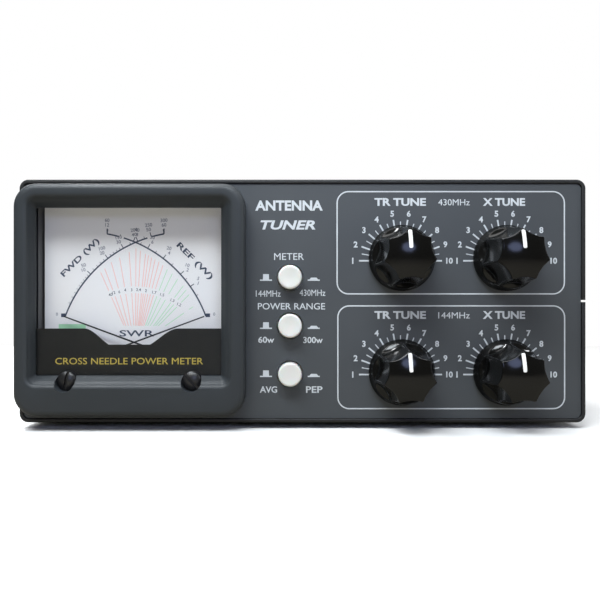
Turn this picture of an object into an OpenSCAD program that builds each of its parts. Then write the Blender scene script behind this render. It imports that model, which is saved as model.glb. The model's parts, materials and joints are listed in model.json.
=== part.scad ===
// Cross-needle power meter and antenna tuner for two VHF/UHF bands.
// X runs to the right seen from the front, Y to the rear, Z up. The origin is on the
// surface the feet stand on, under the middle of the whole outline.

/* [Case] */
// Width of the case over the covers
case_w = 226; // [215:1:290]
// Height of the case over the covers, without feet
case_h = 97; // [95:1:125]
// Depth of the case from the cover's front lip to the rear panel
case_d = 104; // [98:1:150]
// Sheet thickness of both covers
cover_t = 1.5; // [1:0.1:2]
// Outer corner radius of the covers
cover_r = 3.6; // [2.5:0.1:5]
// How far the covers' lip stands in front of the front panel
lip = 0.7; // [0:0.1:1.5]
// Gap between the two covers at half height
seam_gap = 0.8; // [0.4:0.1:1.5]
// Width of the side rails that the covers are screwed to
rail_h = 22; // [18:1:26]
// Thickness of the side rails
rail_t = 2; // [1.2:0.1:2.2]
// Height of the rubber feet
foot_h = 2.5; // [2:0.1:6]
// Radius of the rubber feet
foot_r = 8; // [6:0.5:11]
// Distance of the feet's middles from the case's sides, front and rear
foot_inset = 32; // [25:1:40]

/* [Panels] */
// Thickness of the front panel
panel_t = 2; // [1.5:0.1:3]
// Thickness of the steel plate behind the front panel
subpanel_t = 1.2; // [1:0.1:2]
// Thickness of the rear panel
rear_t = 1.5; // [1:0.1:2.5]

/* [Meter] */
// Width of the meter bezel
bezel_w = 90; // [88:0.5:92]
// Height of the meter bezel
bezel_h = 90.6; // [88:0.1:92]
// How far the bezel stands in front of the panel
bezel_proud = 9; // [7.5:0.1:12]
// Corner radius of the bezel
bezel_r = 8.8; // [6:0.1:10]
// Gap between the bezel's left side and the case's side
bezel_margin = 0.5; // [0.2:0.1:4]
// Rise of the bezel's middle above the case's middle
bezel_rise = 0.4; // [-1.5:0.1:1]
// Width of the meter window
window_w = 73.2; // [70:0.1:75]
// Height of the meter window
window_h = 66.2; // [60:0.1:68]
// Height of the window's middle above the bezel's middle
window_rise = 3.3; // [2.5:0.1:5]
// Shift of the window's middle to the right of the bezel's middle
window_shift = -1.2; // [-1.4:0.1:1.2]
// Shift of the needles' middle to the right of the bezel's middle
needle_shift = -0.6; // [-1:0.1:1]
// Depth of the meter case behind the panel
meter_d = 26; // [25:0.5:32]
// Distance between the two needle pivots
pivot_pitch = 41.3; // [40:0.1:43]
// Drop of the needle pivots below the bezel's middle
pivot_drop = 24.8; // [23.5:0.1:25.5]
// Length of a needle from its pivot
needle_l = 52.5; // [45:0.5:53]
// Angle of a needle at zero above the line between the pivots
needle_zero = 20.3; // [18:0.1:24]
// Sweep of a needle from zero to full scale
needle_sweep = 59.8; // [50:0.1:62]
// Radius of the zero adjusting screws
zero_r = 3.75; // [3:0.05:4]

/* [Knobs] */
// Radius of a knob's skirt
knob_r = 13.2; // [11:0.1:15]
// Height of a knob
knob_h = 21.5; // [17:0.5:26]
// Gap between a knob and the panel
knob_gap = 0.6; // [0.4:0.1:2]
// Radius of a tuning shaft
shaft_r = 3; // [2.5:0.05:3.2]
// Distance between the knobs' columns
knob_pitch_x = 41.7; // [34:0.1:46]
// Distance between the knobs' rows
knob_pitch_z = 45.5; // [38:0.1:50]
// Distance of the right column from the case's side
knob_margin = 31.75; // [28:0.05:40]
// Drop of the middle between the rows below the case's middle
knob_drop = 5.65; // [4:0.05:8]
// Angle of the pointer at rest, from the side of the highest number
knob_rest = 92; // [60:1:120]

/* [Push buttons] */
// Radius of a button cap
button_r = 4.7; // [4:0.1:5.5]
// Clearance around a button cap in the panel
button_clear = 0.65; // [0.3:0.05:1]
// How far a button stands in front of the panel when it is out
button_proud = 4.7; // [4:0.1:7]
// Travel of a button
button_travel = 3.5; // [2.5:0.1:4]
// Distance between the buttons
button_pitch = 19.25; // [14:0.05:21]
// Drop of the middle button below the case's middle
button_drop = 9.8; // [8:0.1:12]
// Distance from the bezel to the buttons' middles
button_gap = 17.5; // [14:0.1:22]

/* [Rear connectors] */
// Outer radius of the coaxial sockets' thread
coax_r = 7.94; // [7.5:0.01:8.5]
// Length of the coaxial sockets' thread behind the flange
coax_l = 11; // [9:0.5:14]
// Side of the coaxial sockets' square flange
flange_w = 25.4; // [24:0.1:28]
// Spacing of the flange screws
flange_pitch = 18.3; // [17:0.1:20]
// Radius of the centre contact's bore
contact_r = 2; // [1.8:0.05:2.3]
// Distance of each coaxial socket from the middle of the rear panel
coax_x = 62; // [50:1:75]
// Radius of the ground stud
stud_r = 2; // [1.5:0.1:3]
// Length of the ground stud behind the panel
stud_l = 12; // [8:0.5:16]

/* [Clearances] */
// Radial clearance of a turning shaft in its bearing
run_clear = 0.05; // [0.02:0.01:0.09]
// Clearance between covers and the pieces inside them
fit_clear = 0.15; // [0.1:0.05:0.4]

/* [Hidden] */
$fn = 64;

flange_t = 2.2;
rear_proud = flange_t + max(coax_l, stud_l);
knob_proud = knob_gap + knob_h;
overall_d = knob_proud + case_d - lip + rear_proud;
y_panel = -overall_d / 2 + knob_proud;
y_rear = y_panel - lip + case_d;
z_mid = foot_h + case_h / 2;
depth_in = y_rear - y_panel;
half_w = case_w / 2;
half_h = case_h / 2;
y_sub = panel_t + subpanel_t;

meter_x = -half_w + bezel_margin + bezel_w / 2;
meter_z = bezel_rise;
window_z = meter_z + window_rise;
window_y = -4;
window_t = 1.5;
mask_y = window_y + window_t;
mask_t = 0.8;
meter_hole = 80;
meter_wall = 1.8;
meter_space = meter_hole - 2 * meter_wall;
pivot_z = meter_z - pivot_drop;
window_x = meter_x + window_shift;
ref_x = meter_x + needle_shift - pivot_pitch / 2;
fwd_x = meter_x + needle_shift + pivot_pitch / 2;
dial_y = 5.6;
dial_t = 1;
ref_needle_y = 1.5;
fwd_needle_y = 3.1;
needle_t = 0.35;
needle_tail = 7;
pivot_r = 0.6;
bridge_t = 0.8;
rear_bridge_y = 20;
yoke_ri = 7.6;
yoke_ro = 9.5;
coil_ro = 7.1;
coil_ri = 5.7;
coil_half_w = 2;
coil_y = [7, 19];
coil_t = 1.4;
core_r = 5.2;
core_y = [8.8, 17.2];
zero_dx = 3.9;
zero_dz = 7;
zero_pin_e = 1.1;
zero_pin_r = 0.6;
zero_l = norm([zero_dx, zero_dz]);
meter_screw_dx = 25;
meter_screw_z = [meter_z + meter_hole / 2 + 3.2, meter_z - meter_hole / 2 - 2.6];

knob_x = [half_w - knob_margin - knob_pitch_x, half_w - knob_margin];
knob_z = [-knob_drop + knob_pitch_z / 2, -knob_drop - knob_pitch_z / 2];
flutes = 7;
grub_r = 1.45;
grub_h = 6;
bushing_r = 4.8;
cap_w = 28;
cap_front = y_sub;
plate_y = 8;
plate_pitch = 1.8;
plate_t = 0.5;
plates = 6;
rotor_r = 10.5;
cap_plate_t = 1.5;
cap_len = plate_y + plates * plate_pitch + 6;
post_r = 1.2;

screw_r = 1.25;
screw_head_r = 2.8;
screw_head_h = 1.5;
screw_hole_r = 1.7;
pilot_r = 1.3;
flange_hole_r = 1.6;
meter_screw_r = 1;
meter_hole_r = 1.5;

button_x = meter_x + bezel_w / 2 + button_gap;
button_z = [for (i = [1, 0, -1]) -button_drop + i * button_pitch];
button_flange = button_r + 1.2;
flange_y = y_sub + 0.4;
switch_y = flange_y + 1 + button_travel + 0.5;
switch_l = 13;
stem_r = 1.9;
stem_l = 9;
board_t = 1.6;
lamp_y = meter_d - meter_wall - board_t;
board_post = [button_z[0] + 11, button_z[2] - 10];

rear_row = 6;
dc_x = 0;
dc_pin_r = 1.05;
stud_x = 24;
stud_z = -20;
screw_y = [24, depth_in - 14];
rail_x = half_w - cover_t - fit_clear;
screw_z = rail_h / 2 - 5;
rail_screw_x = rail_x - 6;
foot_places = [for (x = [-1, 1], y = [foot_inset, depth_in - foot_inset]) [x * (half_w - foot_inset), y]];
bridge_posts = [ref_x - 13, (ref_x + fwd_x) / 2, fwd_x + 13];
ref_aim = atan2(-zero_dz, -zero_dx);
fwd_aim = atan2(-zero_dz, zero_dx);
box_w = 46;
box_half_h = 17;
box_d = 30;
box_t = 1;
coil_turns = 5;
coil_step = 3;
coil_turn_r = 6;

// ---- helpers -------------------------------------------------------------------

// A flat outline in X and Z, as a plate from y0 back to y1.
module plate(y0, y1) translate([0, y1, 0]) rotate([90, 0, 0]) linear_extrude(y1 - y0) children();

// A round bar along Y.
module rod(r, y0, y1) translate([0, y1, 0]) rotate([90, 0, 0]) cylinder(r = r, h = y1 - y0);

// A bar along Y that tapers from radius ra at y0 to rb at y1.
module taper(ra, rb, y0, y1) translate([0, y1, 0]) rotate([90, 0, 0]) cylinder(r1 = rb, r2 = ra, h = y1 - y0);

// A rectangle with rounded corners about the origin.
module rounded(w, h, r) {
  square([w - 2 * r, h], center = true);
  square([w, h - 2 * r], center = true);
  for (x = [-1, 1], z = [-1, 1]) translate([x * (w / 2 - r), z * (h / 2 - r)]) circle(r);
}

// A box by its lowest and highest corners.
module block(low, high) translate(low) cube(high - low);

// Frames of reference: the front panel's plane, and the rear panel's outer plane.
module at_front() translate([0, y_panel, z_mid]) children();
module at_rear() translate([0, y_rear, z_mid]) children();
module at(x, z) translate([x, 0, z]) children();
module at_knobs() for (x = knob_x, z = knob_z) at(x, z) children();
module at_meter() translate([meter_x, 0, meter_z]) children();
module at_coax() for (s = [-1, 1]) at(s * coax_x, rear_row) children();
module at_flange_screws() for (x = [-0.5, 0.5], z = [-0.5, 0.5]) at(x * flange_pitch, z * flange_pitch) children();
module at_meter_screws() for (x = [-1, 1], z = meter_screw_z) at(meter_x + x * meter_screw_dx, z) children();

// ---- case ------------------------------------------------------------------------

// Outline of the space inside the covers, less the given clearance.
module inside_outline(clear) {
  rounded(case_w - 2 * cover_t - 2 * clear, case_h - 2 * cover_t - 2 * clear, cover_r - cover_t);
}

// Places of the meter hole, the three buttons and the four shafts in both front plates.
module front_openings(shaft_hole) {
  translate([meter_x, meter_z]) square([meter_hole, meter_hole], center = true);
  for (z = button_z) translate([button_x, z]) circle(button_r + button_clear);
  for (x = knob_x, z = knob_z) translate([x, z]) circle(shaft_hole);
  for (x = [-1, 1], z = meter_screw_z) translate([meter_x + x * meter_screw_dx, z]) circle(meter_hole_r);
}

module front_panel() color("#4b525a") at_front() plate(0, panel_t) difference() {
  inside_outline(fit_clear);
  front_openings(bushing_r + run_clear);
}

module front_subpanel() color("#b9bcc0") at_front() {
  plate(panel_t, y_sub) difference() {
    inside_outline(fit_clear);
    front_openings(bushing_r + run_clear);
  }
  for (z = board_post) at(button_x, z) rod(2.5, y_sub - 0.1, switch_y + switch_l);
}

module rear_panel() color("#202226") at_rear() difference() {
  plate(-rear_t, 0) inside_outline(fit_clear);
  at_coax() {
    rod(coax_r - 0.4 + fit_clear, -rear_t - 1, 1);
    at_flange_screws() rod(flange_hole_r, -rear_t - 1, 1);
  }
  at(dc_x, rear_row) rod(4 + fit_clear, -rear_t - 1, 1);
  at(stud_x, stud_z) rod(stud_r + fit_clear, -rear_t - 1, 1);
  for (s = [-1, 1], z = [-1, 1]) at(s * rail_screw_x, z * screw_z) rod(screw_hole_r, -rear_t - 1, 1);
}

// A flat bar along each side with a lug bent in at both ends.
module side_rails() color("#b9bcc0") at_front() for (s = [-1, 1]) scale([s, 1, 1]) difference() {
  union() {
    block([rail_x - rail_t, y_sub, -rail_h / 2], [rail_x, depth_in - rear_t, rail_h / 2]);
    block([rail_x - 10, depth_in - rear_t - rail_t, -rail_h / 2], [rail_x, depth_in - rear_t, rail_h / 2]);
  }
  for (y = screw_y, z = [-1, 1])
    translate([rail_x - 5, y, z * screw_z]) rotate([0, 90, 0]) cylinder(r = pilot_r, h = 10);
  for (z = [-1, 1]) at(rail_screw_x, z * screw_z) rod(pilot_r, depth_in - 8, depth_in);
}

// Half of the case's shell: sign 1 keeps what is above the seam, -1 what is below it.
module half_shell(sign) difference() {
  intersection() {
    plate(-lip, depth_in) difference() {
      rounded(case_w, case_h, cover_r);
      inside_outline(0);
    }
    block([-case_w, -case_d, sign > 0 ? seam_gap / 2 : -case_h],
      [case_w, 2 * case_d, sign > 0 ? case_h : -seam_gap / 2]);
  }
  for (s = [-1, 1], y = screw_y)
    translate([s * half_w, y, sign * screw_z]) rotate([0, 90, 0])
      cylinder(r = screw_hole_r, h = 8, center = true);
}

module top_cover() color("#17181a") at_front() half_shell(1);

module bottom_cover() color("#17181a") at_front() difference() {
  half_shell(-1);
  for (p = foot_places) translate([p[0], p[1], -half_h - 1]) cylinder(r = screw_hole_r, h = cover_t + 2);
}

// A domed screw with a cross recess, its head's underside at z = 0 and its shank down -Z.
module cross_screw(head_r, head_h, shank_r, shank_l) difference() {
  union() {
    rotate_extrude() polygon([[0, 0], [head_r, 0], [head_r, head_h * 0.45],
      [head_r * 0.8, head_h * 0.85], [head_r * 0.45, head_h], [0, head_h]]);
    translate([0, 0, -shank_l]) cylinder(r = shank_r, h = shank_l);
  }
  for (a = [0, 90]) rotate(a) translate([-head_r * 0.55, -0.3, head_h * 0.45])
    cube([head_r * 1.1, 0.6, head_h]);
}

module cover_screws() color("#1c1d1f") at_front() for (s = [-1, 1], y = screw_y, z = [-1, 1])
  translate([s * half_w, y, z * screw_z]) rotate([0, s * 90, 0])
    cross_screw(screw_head_r, screw_head_h, screw_r, cover_t + rail_t + 0.2);

module rail_screws() color("#3a3c40") at_rear() for (s = [-1, 1], z = [-1, 1])
  at(s * rail_screw_x, z * screw_z) rotate([-90, 0, 0])
    cross_screw(screw_head_r, screw_head_h, screw_r, rear_t + rail_t);

module rubber_feet() color("#151515") at_front() for (p = foot_places)
  translate([p[0], p[1], -half_h - foot_h]) difference() {
    rotate_extrude() polygon([[0, 0], [foot_r - 1, 0], [foot_r - 0.3, 0.4], [foot_r, foot_h], [0, foot_h]]);
    translate([0, 0, -1]) cylinder(r = 3.4, h = foot_h - 0.1);
    translate([0, 0, -1]) cylinder(r = 1.6, h = foot_h + 2);
  }

module foot_screws() color("#3a3c40") at_front() for (p = foot_places)
  translate([p[0], p[1], -half_h - 1.1]) rotate([180, 0, 0]) cross_screw(screw_head_r, 0.9, screw_r, cover_t + 2);

// ---- meter -----------------------------------------------------------------------

// Space around a zero screw that the window, the mask and the bezel leave free.
module zero_holes(r, y0, y1) for (x = [ref_x - zero_dx, fwd_x + zero_dx])
  at(x, pivot_z - zero_dz) rod(r, y0, y1);

module meter_bezel() color("#32373c") at_front() difference() {
  at_meter() union() {
    plate(-bezel_proud + 2.2, 0) rounded(bezel_w, bezel_h, bezel_r);
    hull() {
      plate(-bezel_proud + 2, -bezel_proud + 2.2) rounded(bezel_w, bezel_h, bezel_r);
      plate(-bezel_proud + 0.5, -bezel_proud + 0.7) rounded(bezel_w - 1.4, bezel_h - 1.4, bezel_r - 0.7);
      plate(-bezel_proud, -bezel_proud + 0.1) rounded(bezel_w - 3.6, bezel_h - 3.6, bezel_r - 1.8);
    }
  }
  translate([window_x, 0, window_z]) {
    hull() {
      plate(-bezel_proud - 0.1, -bezel_proud) translate([-window_shift, -0.7])
        square([window_w + 5.7, window_h + 7.2], center = true);
      plate(window_y, window_y + 0.1) square([window_w, window_h], center = true);
    }
    plate(window_y - 0.5, window_y + 1) square([window_w, window_h], center = true);
    plate(window_y, 1) square([window_w + 2, window_h + 2], center = true);
  }
  translate([window_x, 0, pivot_z - 4]) plate(window_y + 1, 1) square([window_w + 2, 22], center = true);
  zero_holes(zero_r + 0.2, -bezel_proud - 1, 1);
  at_meter_screws() rod(meter_screw_r + 0.1, -2.5, 1);
  block([-case_w, -lip - 0.05, -case_h], [-half_w + cover_t + 0.1, 1, case_h]);
}

module meter_window() color([0.9, 0.95, 1, 0.35]) at_front() difference() {
  translate([window_x, 0, window_z]) plate(window_y, mask_y)
    square([window_w + 1.6, window_h + 1.6], center = true);
  zero_holes(zero_r + 0.5, window_y - 1, 1);
}

// The black strip behind the window's foot, with a notch that shows where the needles cross.
module meter_mask() color("#0e0f10") at_front() difference() {
  translate([window_x, 0, window_z]) plate(mask_y, mask_y + mask_t)
    translate([-window_w / 2 - 0.8, -window_h / 2 - 0.8]) square([window_w + 1.6, 19.3]);
  translate([window_x, 0, window_z]) plate(mask_y - 1, mask_y + 2)
    polygon([[-17.3, -14.4], [17.3, -14.4], [15.5, -17.4], [8.4, -20.8], [-8.4, -20.8], [-15.5, -17.4]]);
  zero_holes(zero_r + 0.5, mask_y - 1, 1);
}

module dial_plate() color("#dfe0ea") at_front() difference() {
  at_meter() plate(dial_y, dial_y + dial_t) square(meter_space - 1, center = true);
  for (x = [ref_x, fwd_x]) at(x, pivot_z) rod(4, dial_y - 1, dial_y + 3);
  for (x = bridge_posts) at(x, pivot_z) rod(2.2, dial_y - 1, dial_y + 3);
}

module meter_case() color("#232427") at_front() {
  at_meter() difference() {
    plate(0, meter_d) rounded(meter_hole - 2 * fit_clear, meter_hole - 2 * fit_clear, 2);
    plate(-1, meter_d - meter_wall) square(meter_space, center = true);
  }
  for (x = [-20, 20]) at(meter_x + x, meter_z + 12) rod(2, meter_d - 0.1, meter_d + 6);
}

module meter_screws() color("#8d9094") at_front() at_meter_screws()
  translate([0, y_sub, 0]) rotate([-90, 0, 0]) cross_screw(2.2, 1.3, meter_screw_r, y_sub + 2.2);

module at_pivots() for (x = [ref_x, fwd_x]) at(x, pivot_z) children();

module movement_yokes() color("#77797c") at_front() at_pivots() difference() {
  rod(yoke_ro, 8, rear_bridge_y);
  rod(yoke_ri, 7, rear_bridge_y + 1);
}

module movement_cores() color("#4a4c50") at_front() at_pivots() difference() {
  union() {
    rod(core_r, core_y[0], core_y[1]);
    intersection() {
      rod(yoke_ri, core_y[0] + 0.2, core_y[1] - 0.2);
      block([-1.5, 0, -yoke_ri], [1.5, core_y[1], yoke_ri]);
    }
  }
  rod(1.2, 0, 30);
}

module bridge_bar(y0, y1) difference() {
  plate(y0, y1) translate([(ref_x + fwd_x) / 2, pivot_z]) square([pivot_pitch + 30, 8], center = true);
  at_pivots() rod(pivot_r + run_clear, y0 - 1, y1 + 1);
}

module movement_bridges() color("#b98d3a") at_front() {
  bridge_bar(0, bridge_t);
  bridge_bar(rear_bridge_y, rear_bridge_y + 1);
  for (x = bridge_posts) at(x, pivot_z) rod(1.6, 0.1, meter_d - meter_wall);
}

module lamp_board() color("#1d5a35") at_front() {
  at_meter() plate(lamp_y, lamp_y + board_t) translate([0, 20]) square([64, 18], center = true);
  for (x = [-22, 22]) at(meter_x + x, meter_z + 20) rod(2.5, lamp_y - 5, lamp_y + 0.1);
}

// A needle along +X from its hub, with a tail weight, in the plane from y to y + needle_t.
module needle(y) {
  difference() {
    union() {
      plate(y, y + needle_t) polygon([[-needle_tail, -0.5], [0, -0.5], [needle_l, -0.22],
        [needle_l, 0.22], [0, 0.5], [-needle_tail, 0.5]]);
      rod(1.6, y - 0.1, y + needle_t + 0.4);
      translate([-needle_tail, 0, 0]) rod(1.1, y, y + needle_t + 0.3);
    }
    rod(pivot_r, y - 1, y + 2);
  }
}

// A wire coil on its pivot shaft, wound round the core.
module moving_coil() {
  difference() {
    block([-coil_ro, coil_y[0], -coil_half_w], [coil_ro, coil_y[1], coil_half_w]);
    block([-coil_ri, coil_y[0] + coil_t, -coil_half_w - 1], [coil_ri, coil_y[1] - coil_t, coil_half_w + 1]);
  }
  rod(pivot_r, 0.2, coil_y[0] + 1);
  rod(pivot_r, coil_y[1] - 1, rear_bridge_y + 0.8);
}

module at_fwd_pivot() at_front() at(fwd_x, pivot_z) children();
module at_ref_pivot() at_front() at(ref_x, pivot_z) children();

module fwd_needle() color("#101010") at_fwd_pivot() rotate([0, needle_zero - 180, 0]) needle(fwd_needle_y);
module fwd_coil() color("#b46a35") at_fwd_pivot() rotate([0, -needle_sweep / 2, 0]) moving_coil();
module ref_needle() color("#101010") at_ref_pivot() rotate([0, -needle_zero, 0]) needle(ref_needle_y);
module ref_coil() color("#b46a35") at_ref_pivot() rotate([0, needle_sweep / 2, 0]) moving_coil();

// A slotted screw in the bezel whose off-centre pin moves the zero lever. The pin stands
// square to the line from the screw to the pivot, so that both turn together about rest.
module zero_screw(slot_angle, pin_angle) difference() {
  union() {
    rod(zero_r, -6.2, -2.2);
    rod(2.2, -2.3, -1.6);
    rotate([0, -pin_angle, 0]) translate([zero_pin_e, 0, 0]) rod(zero_pin_r, -1.7, -0.2);
  }
  rotate([0, -slot_angle, 0]) block([-zero_r - 1, -7, -0.55], [zero_r + 1, -5.1, 0.55]);
}

// A lever on the pivot's axis, with a fork round the screw's pin, along +X.
module zero_lever() difference() {
  plate(-1.2, -0.5) {
    circle(2.2);
    translate([0, -1.1]) square([zero_l - 2.4, 2.2]);
    translate([zero_l - 4.4, -1.9]) square([5.6, 3.8]);
  }
  plate(-2, 0) translate([zero_l - 3.4, -zero_pin_r - 0.05]) square([6, 2 * zero_pin_r + 0.1]);
}

module zero_screw_fwd() color("#141518") at_fwd_pivot() at(zero_dx, -zero_dz) zero_screw(-48, fwd_aim + 180);
module zero_screw_ref() color("#141518") at_ref_pivot() at(-zero_dx, -zero_dz) zero_screw(80, ref_aim + 180);
module zero_lever_fwd() color("#c9a35a") at_fwd_pivot() rotate([0, -fwd_aim, 0]) zero_lever();
module zero_lever_ref() color("#c9a35a") at_ref_pivot() rotate([0, -ref_aim, 0]) zero_lever();

// ---- knobs and tuning capacitors ---------------------------------------------------

// Skirted, fluted knob, its pointer on the ridge at +X, its face towards -Y.
module knob() rotate([90, 0, 0]) difference() {
  rotate_extrude() polygon([[0, 0], [knob_r, 0], [knob_r, 1], [knob_r - 0.8, 3.4], [knob_r - 1.5, 5],
    [knob_r - 3.1, knob_h - 3.4], [knob_r - 4, knob_h - 1.4], [knob_r - 5.6, knob_h - 0.3],
    [knob_r - 7, knob_h], [0, knob_h]]);
  for (i = [0 : flutes - 1]) rotate((i + 0.5) * 360 / flutes) translate([knob_r + 1.5, 0, 4.6])
    rotate([0, -5, 0]) cylinder(r = 5, h = knob_h);
  translate([2.2, -0.8, knob_h - 0.35]) cube([knob_r, 1.6, 2]);
  translate([0, 0, -1]) cylinder(r = shaft_r + 0.03, h = 14);
  translate([0, 0, -1]) cylinder(r = knob_r - 1.8, h = 4);
  translate([0, 0, grub_h]) rotate([0, 90, 180]) cylinder(r = grub_r + 0.05, h = knob_r + 1);
}

// A variable capacitor's shaft with half-round plates, the pointer's side at +X.
module rotor() difference() {
  union() {
    rod(shaft_r, -12.4, plate_y - 3);
    rod(shaft_r - 0.6, plate_y - 3.1, cap_len + 2);
    for (i = [0 : plates - 1]) plate(plate_y + i * plate_pitch, plate_y + i * plate_pitch + plate_t)
      intersection() {
        circle(rotor_r);
        translate([0, -2 * rotor_r]) square([2 * rotor_r, 4 * rotor_r]);
      }
  }
}

// Socket set screw that clamps a knob, opposite the pointer.
module grub_screw() rotate([90, 0, 0]) translate([0, 0, grub_h + knob_gap]) rotate([0, 90, 180])
  translate([0, 0, shaft_r]) difference() {
    cylinder(r = grub_r, h = 6);
    translate([0, 0, 4.8]) cylinder(r = 0.8, h = 2, $fn = 6);
  }

module place_knob(x, z) at_front() translate([x, 0, z]) rotate([0, -knob_rest, 0]) children();
module knob_at(x, z) color("#0c0c0e") place_knob(x, z) translate([0, -knob_gap, 0]) knob();
module grub_at(x, z) color("#55575b") place_knob(x, z) grub_screw();
module rotor_at(x, z) color("#c8c4b4") place_knob(x, z) rotor();

module knob_tr_430() knob_at(knob_x[0], knob_z[0]);
module knob_x_430() knob_at(knob_x[1], knob_z[0]);
module knob_tr_144() knob_at(knob_x[0], knob_z[1]);
module knob_x_144() knob_at(knob_x[1], knob_z[1]);
module grub_screw_tr_430() grub_at(knob_x[0], knob_z[0]);
module grub_screw_x_430() grub_at(knob_x[1], knob_z[0]);
module grub_screw_tr_144() grub_at(knob_x[0], knob_z[1]);
module grub_screw_x_144() grub_at(knob_x[1], knob_z[1]);
module rotor_tr_430() rotor_at(knob_x[0], knob_z[0]);
module rotor_x_430() rotor_at(knob_x[1], knob_z[0]);
module rotor_tr_144() rotor_at(knob_x[0], knob_z[1]);
module rotor_x_144() rotor_at(knob_x[1], knob_z[1]);

// Two end plates and four corner bars round each capacitor.
module capacitor_frames() color("#a9aaa6") at_front() at_knobs() difference() {
  union() {
    plate(cap_front, cap_front + cap_plate_t) square(cap_w, center = true);
    plate(cap_len, cap_len + cap_plate_t) square(cap_w, center = true);
    for (x = [-1, 1], z = [-1, 1]) at(x * (cap_w / 2 - 2), z * (cap_w / 2 - 2)) rod(1.5, cap_front, cap_len + 1);
  }
  rod(bushing_r + run_clear, 0, cap_front + cap_plate_t + 1);
  rod(shaft_r - 0.6 + run_clear, cap_len - 1, cap_len + 3);
}

// Half-round stator plates between the rotor's, on two bars.
module capacitor_stators() color("#c8c4b4") at_front() at_knobs() {
  for (i = [0 : plates]) plate(plate_y + (i - 0.5) * plate_pitch, plate_y + (i - 0.5) * plate_pitch + plate_t)
    difference() {
      circle(rotor_r + 3);
      circle(shaft_r + 1.4);
      translate([-2 * rotor_r, 0]) square([4 * rotor_r, 2 * rotor_r]);
    }
  for (a = [-45, -135]) rotate([0, -a, 0]) translate([rotor_r + 1.8, 0, 0])
    rod(post_r, cap_front + cap_plate_t, cap_len);
}

module shaft_bushings() color("#c9b37a") at_front() at_knobs() difference() {
  rod(bushing_r, -1.6, cap_front + cap_plate_t);
  rod(shaft_r + run_clear, -4, cap_front + cap_plate_t + 1);
}

module bushing_nuts() color("#9a9ca0") at_front() at_knobs() difference() {
  rotate([90, 0, 0]) cylinder(r = bushing_r + 1.9, h = 1.5, $fn = 6);
  rod(bushing_r, -2, 1);
}

// ---- push buttons ------------------------------------------------------------------

module button(i) color("#d9d4c4") at_front() at(button_x, button_z[i]) {
  taper(button_r - 0.4, button_r, -button_proud, -button_proud + 0.5);
  rod(button_r, -button_proud + 0.4, flange_y + 0.1);
  rod(button_flange, flange_y, flange_y + 1);
  rod(stem_r, flange_y + 0.9, switch_y + stem_l - 4);
}

module button_band() button(0);
module button_range() button(1);
module button_peak() button(2);

module switch_bodies() color("#2b2c30") at_front() for (z = button_z) at(button_x, z) difference() {
  block([-5.5, switch_y, -6.5], [5.5, switch_y + switch_l, 6.5]);
  rod(stem_r + 0.2, switch_y - 1, switch_y + stem_l);
}

module switch_board() color("#1d5a35") at_front() plate(switch_y + switch_l, switch_y + switch_l + board_t)
  translate([button_x - 8, board_post[1] - 5]) square([16, board_post[0] - board_post[1] + 10]);

// ---- electronics -------------------------------------------------------------------

module meter_board() color("#1d5a35") at_front() {
  at_meter() plate(meter_d + 6, meter_d + 6 + board_t) square([66, 56], center = true);
  for (x = [-18, -6, 6, 18]) translate([meter_x + x, 0, meter_z - 16])
    block([-3.3, meter_d + 6 + board_t - 0.1, -3.3], [3.3, meter_d + 6 + board_t + 4.5, 3.3]);
}

// Screening box of the directional coupler, behind the transmitter socket.
module coupler_box() color("#b9bcc0") at_rear() difference() {
  translate([-coax_x, 0, rear_row]) difference() {
    block([-box_w / 2, -rear_t - box_d, -box_half_h], [box_w / 2, -rear_t, box_half_h]);
    block([-box_w / 2 + box_t, -rear_t - box_d + box_t, -box_half_h + box_t],
      [box_w / 2 - box_t, -rear_t - box_t, box_half_h - box_t]);
    rod(coax_r, -rear_t - 1.5, 1);
  }
  at(-coax_x, rear_row) at_flange_screws() rod(flange_hole_r, -rear_t - 2, 1);
}

// Air-wound coils between the capacitors and the antenna socket: rings of wire on a bar.
module tuning_coils() color("#d8d8dc") at_front() at_knobs()
  translate([0, cap_len + cap_plate_t, 0]) rotate([-90, 0, 0]) {
    for (i = [1 : coil_turns]) translate([0, 0, coil_step * i])
      rotate_extrude() translate([coil_turn_r, 0]) circle(0.8, $fn = 24);
    translate([coil_turn_r, 0, 0]) cylinder(r = 0.9, h = coil_step * coil_turns + 1);
  }

// ---- rear connectors -----------------------------------------------------------------

module coax_shells() color("#c4c6ca") at_rear() at_coax() difference() {
  union() {
    plate(0, flange_t) rounded(flange_w, flange_w, 2);
    rod(coax_r, flange_t - 0.1, flange_t + coax_l);
    rod(coax_r - 0.4, -rear_t - 3, 0.1);
  }
  rod(6.3, flange_t + coax_l - 6, flange_t + coax_l + 1);
  rod(4.8, -10, flange_t + coax_l);
  at_flange_screws() rod(flange_hole_r, -1, flange_t + 1);
}

module coax_insulators() color("#f0efe8") at_rear() at_coax() difference() {
  rod(4.75, -rear_t - 4, flange_t + coax_l - 6);
  rod(contact_r + 0.65, -20, 20);
}

module coax_contacts() color("#d4c49a") at_rear() at_coax() difference() {
  rod(contact_r + 0.6, -rear_t - 8, flange_t + coax_l - 2);
  rod(contact_r, flange_t + coax_l - 12, 20);
}

module flange_screws() color("#8d9094") at_rear() at_coax() at_flange_screws()
  translate([0, flange_t, 0]) rotate([-90, 0, 0]) cross_screw(2.6, 1.4, flange_hole_r - 0.15, 7);

module dc_jack() color("#1a1b1d") at_rear() at(dc_x, rear_row) difference() {
  union() {
    rod(5.2, 0, 1.6);
    rod(4, -12, 0.1);
    rod(dc_pin_r, -12, 0.6);
  }
  difference() {
    rod(2.75, -9, 2);
    rod(dc_pin_r, -10, 0.6);
  }
}

module ground_stud() color("#c4c6ca") at_rear() at(stud_x, stud_z) {
  rod(stud_r, -6, stud_l + flange_t);
  rotate([90, 0, 0]) translate([0, 0, rear_t]) cylinder(r = stud_r + 1.9, h = 3, $fn = 6);
}

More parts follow.
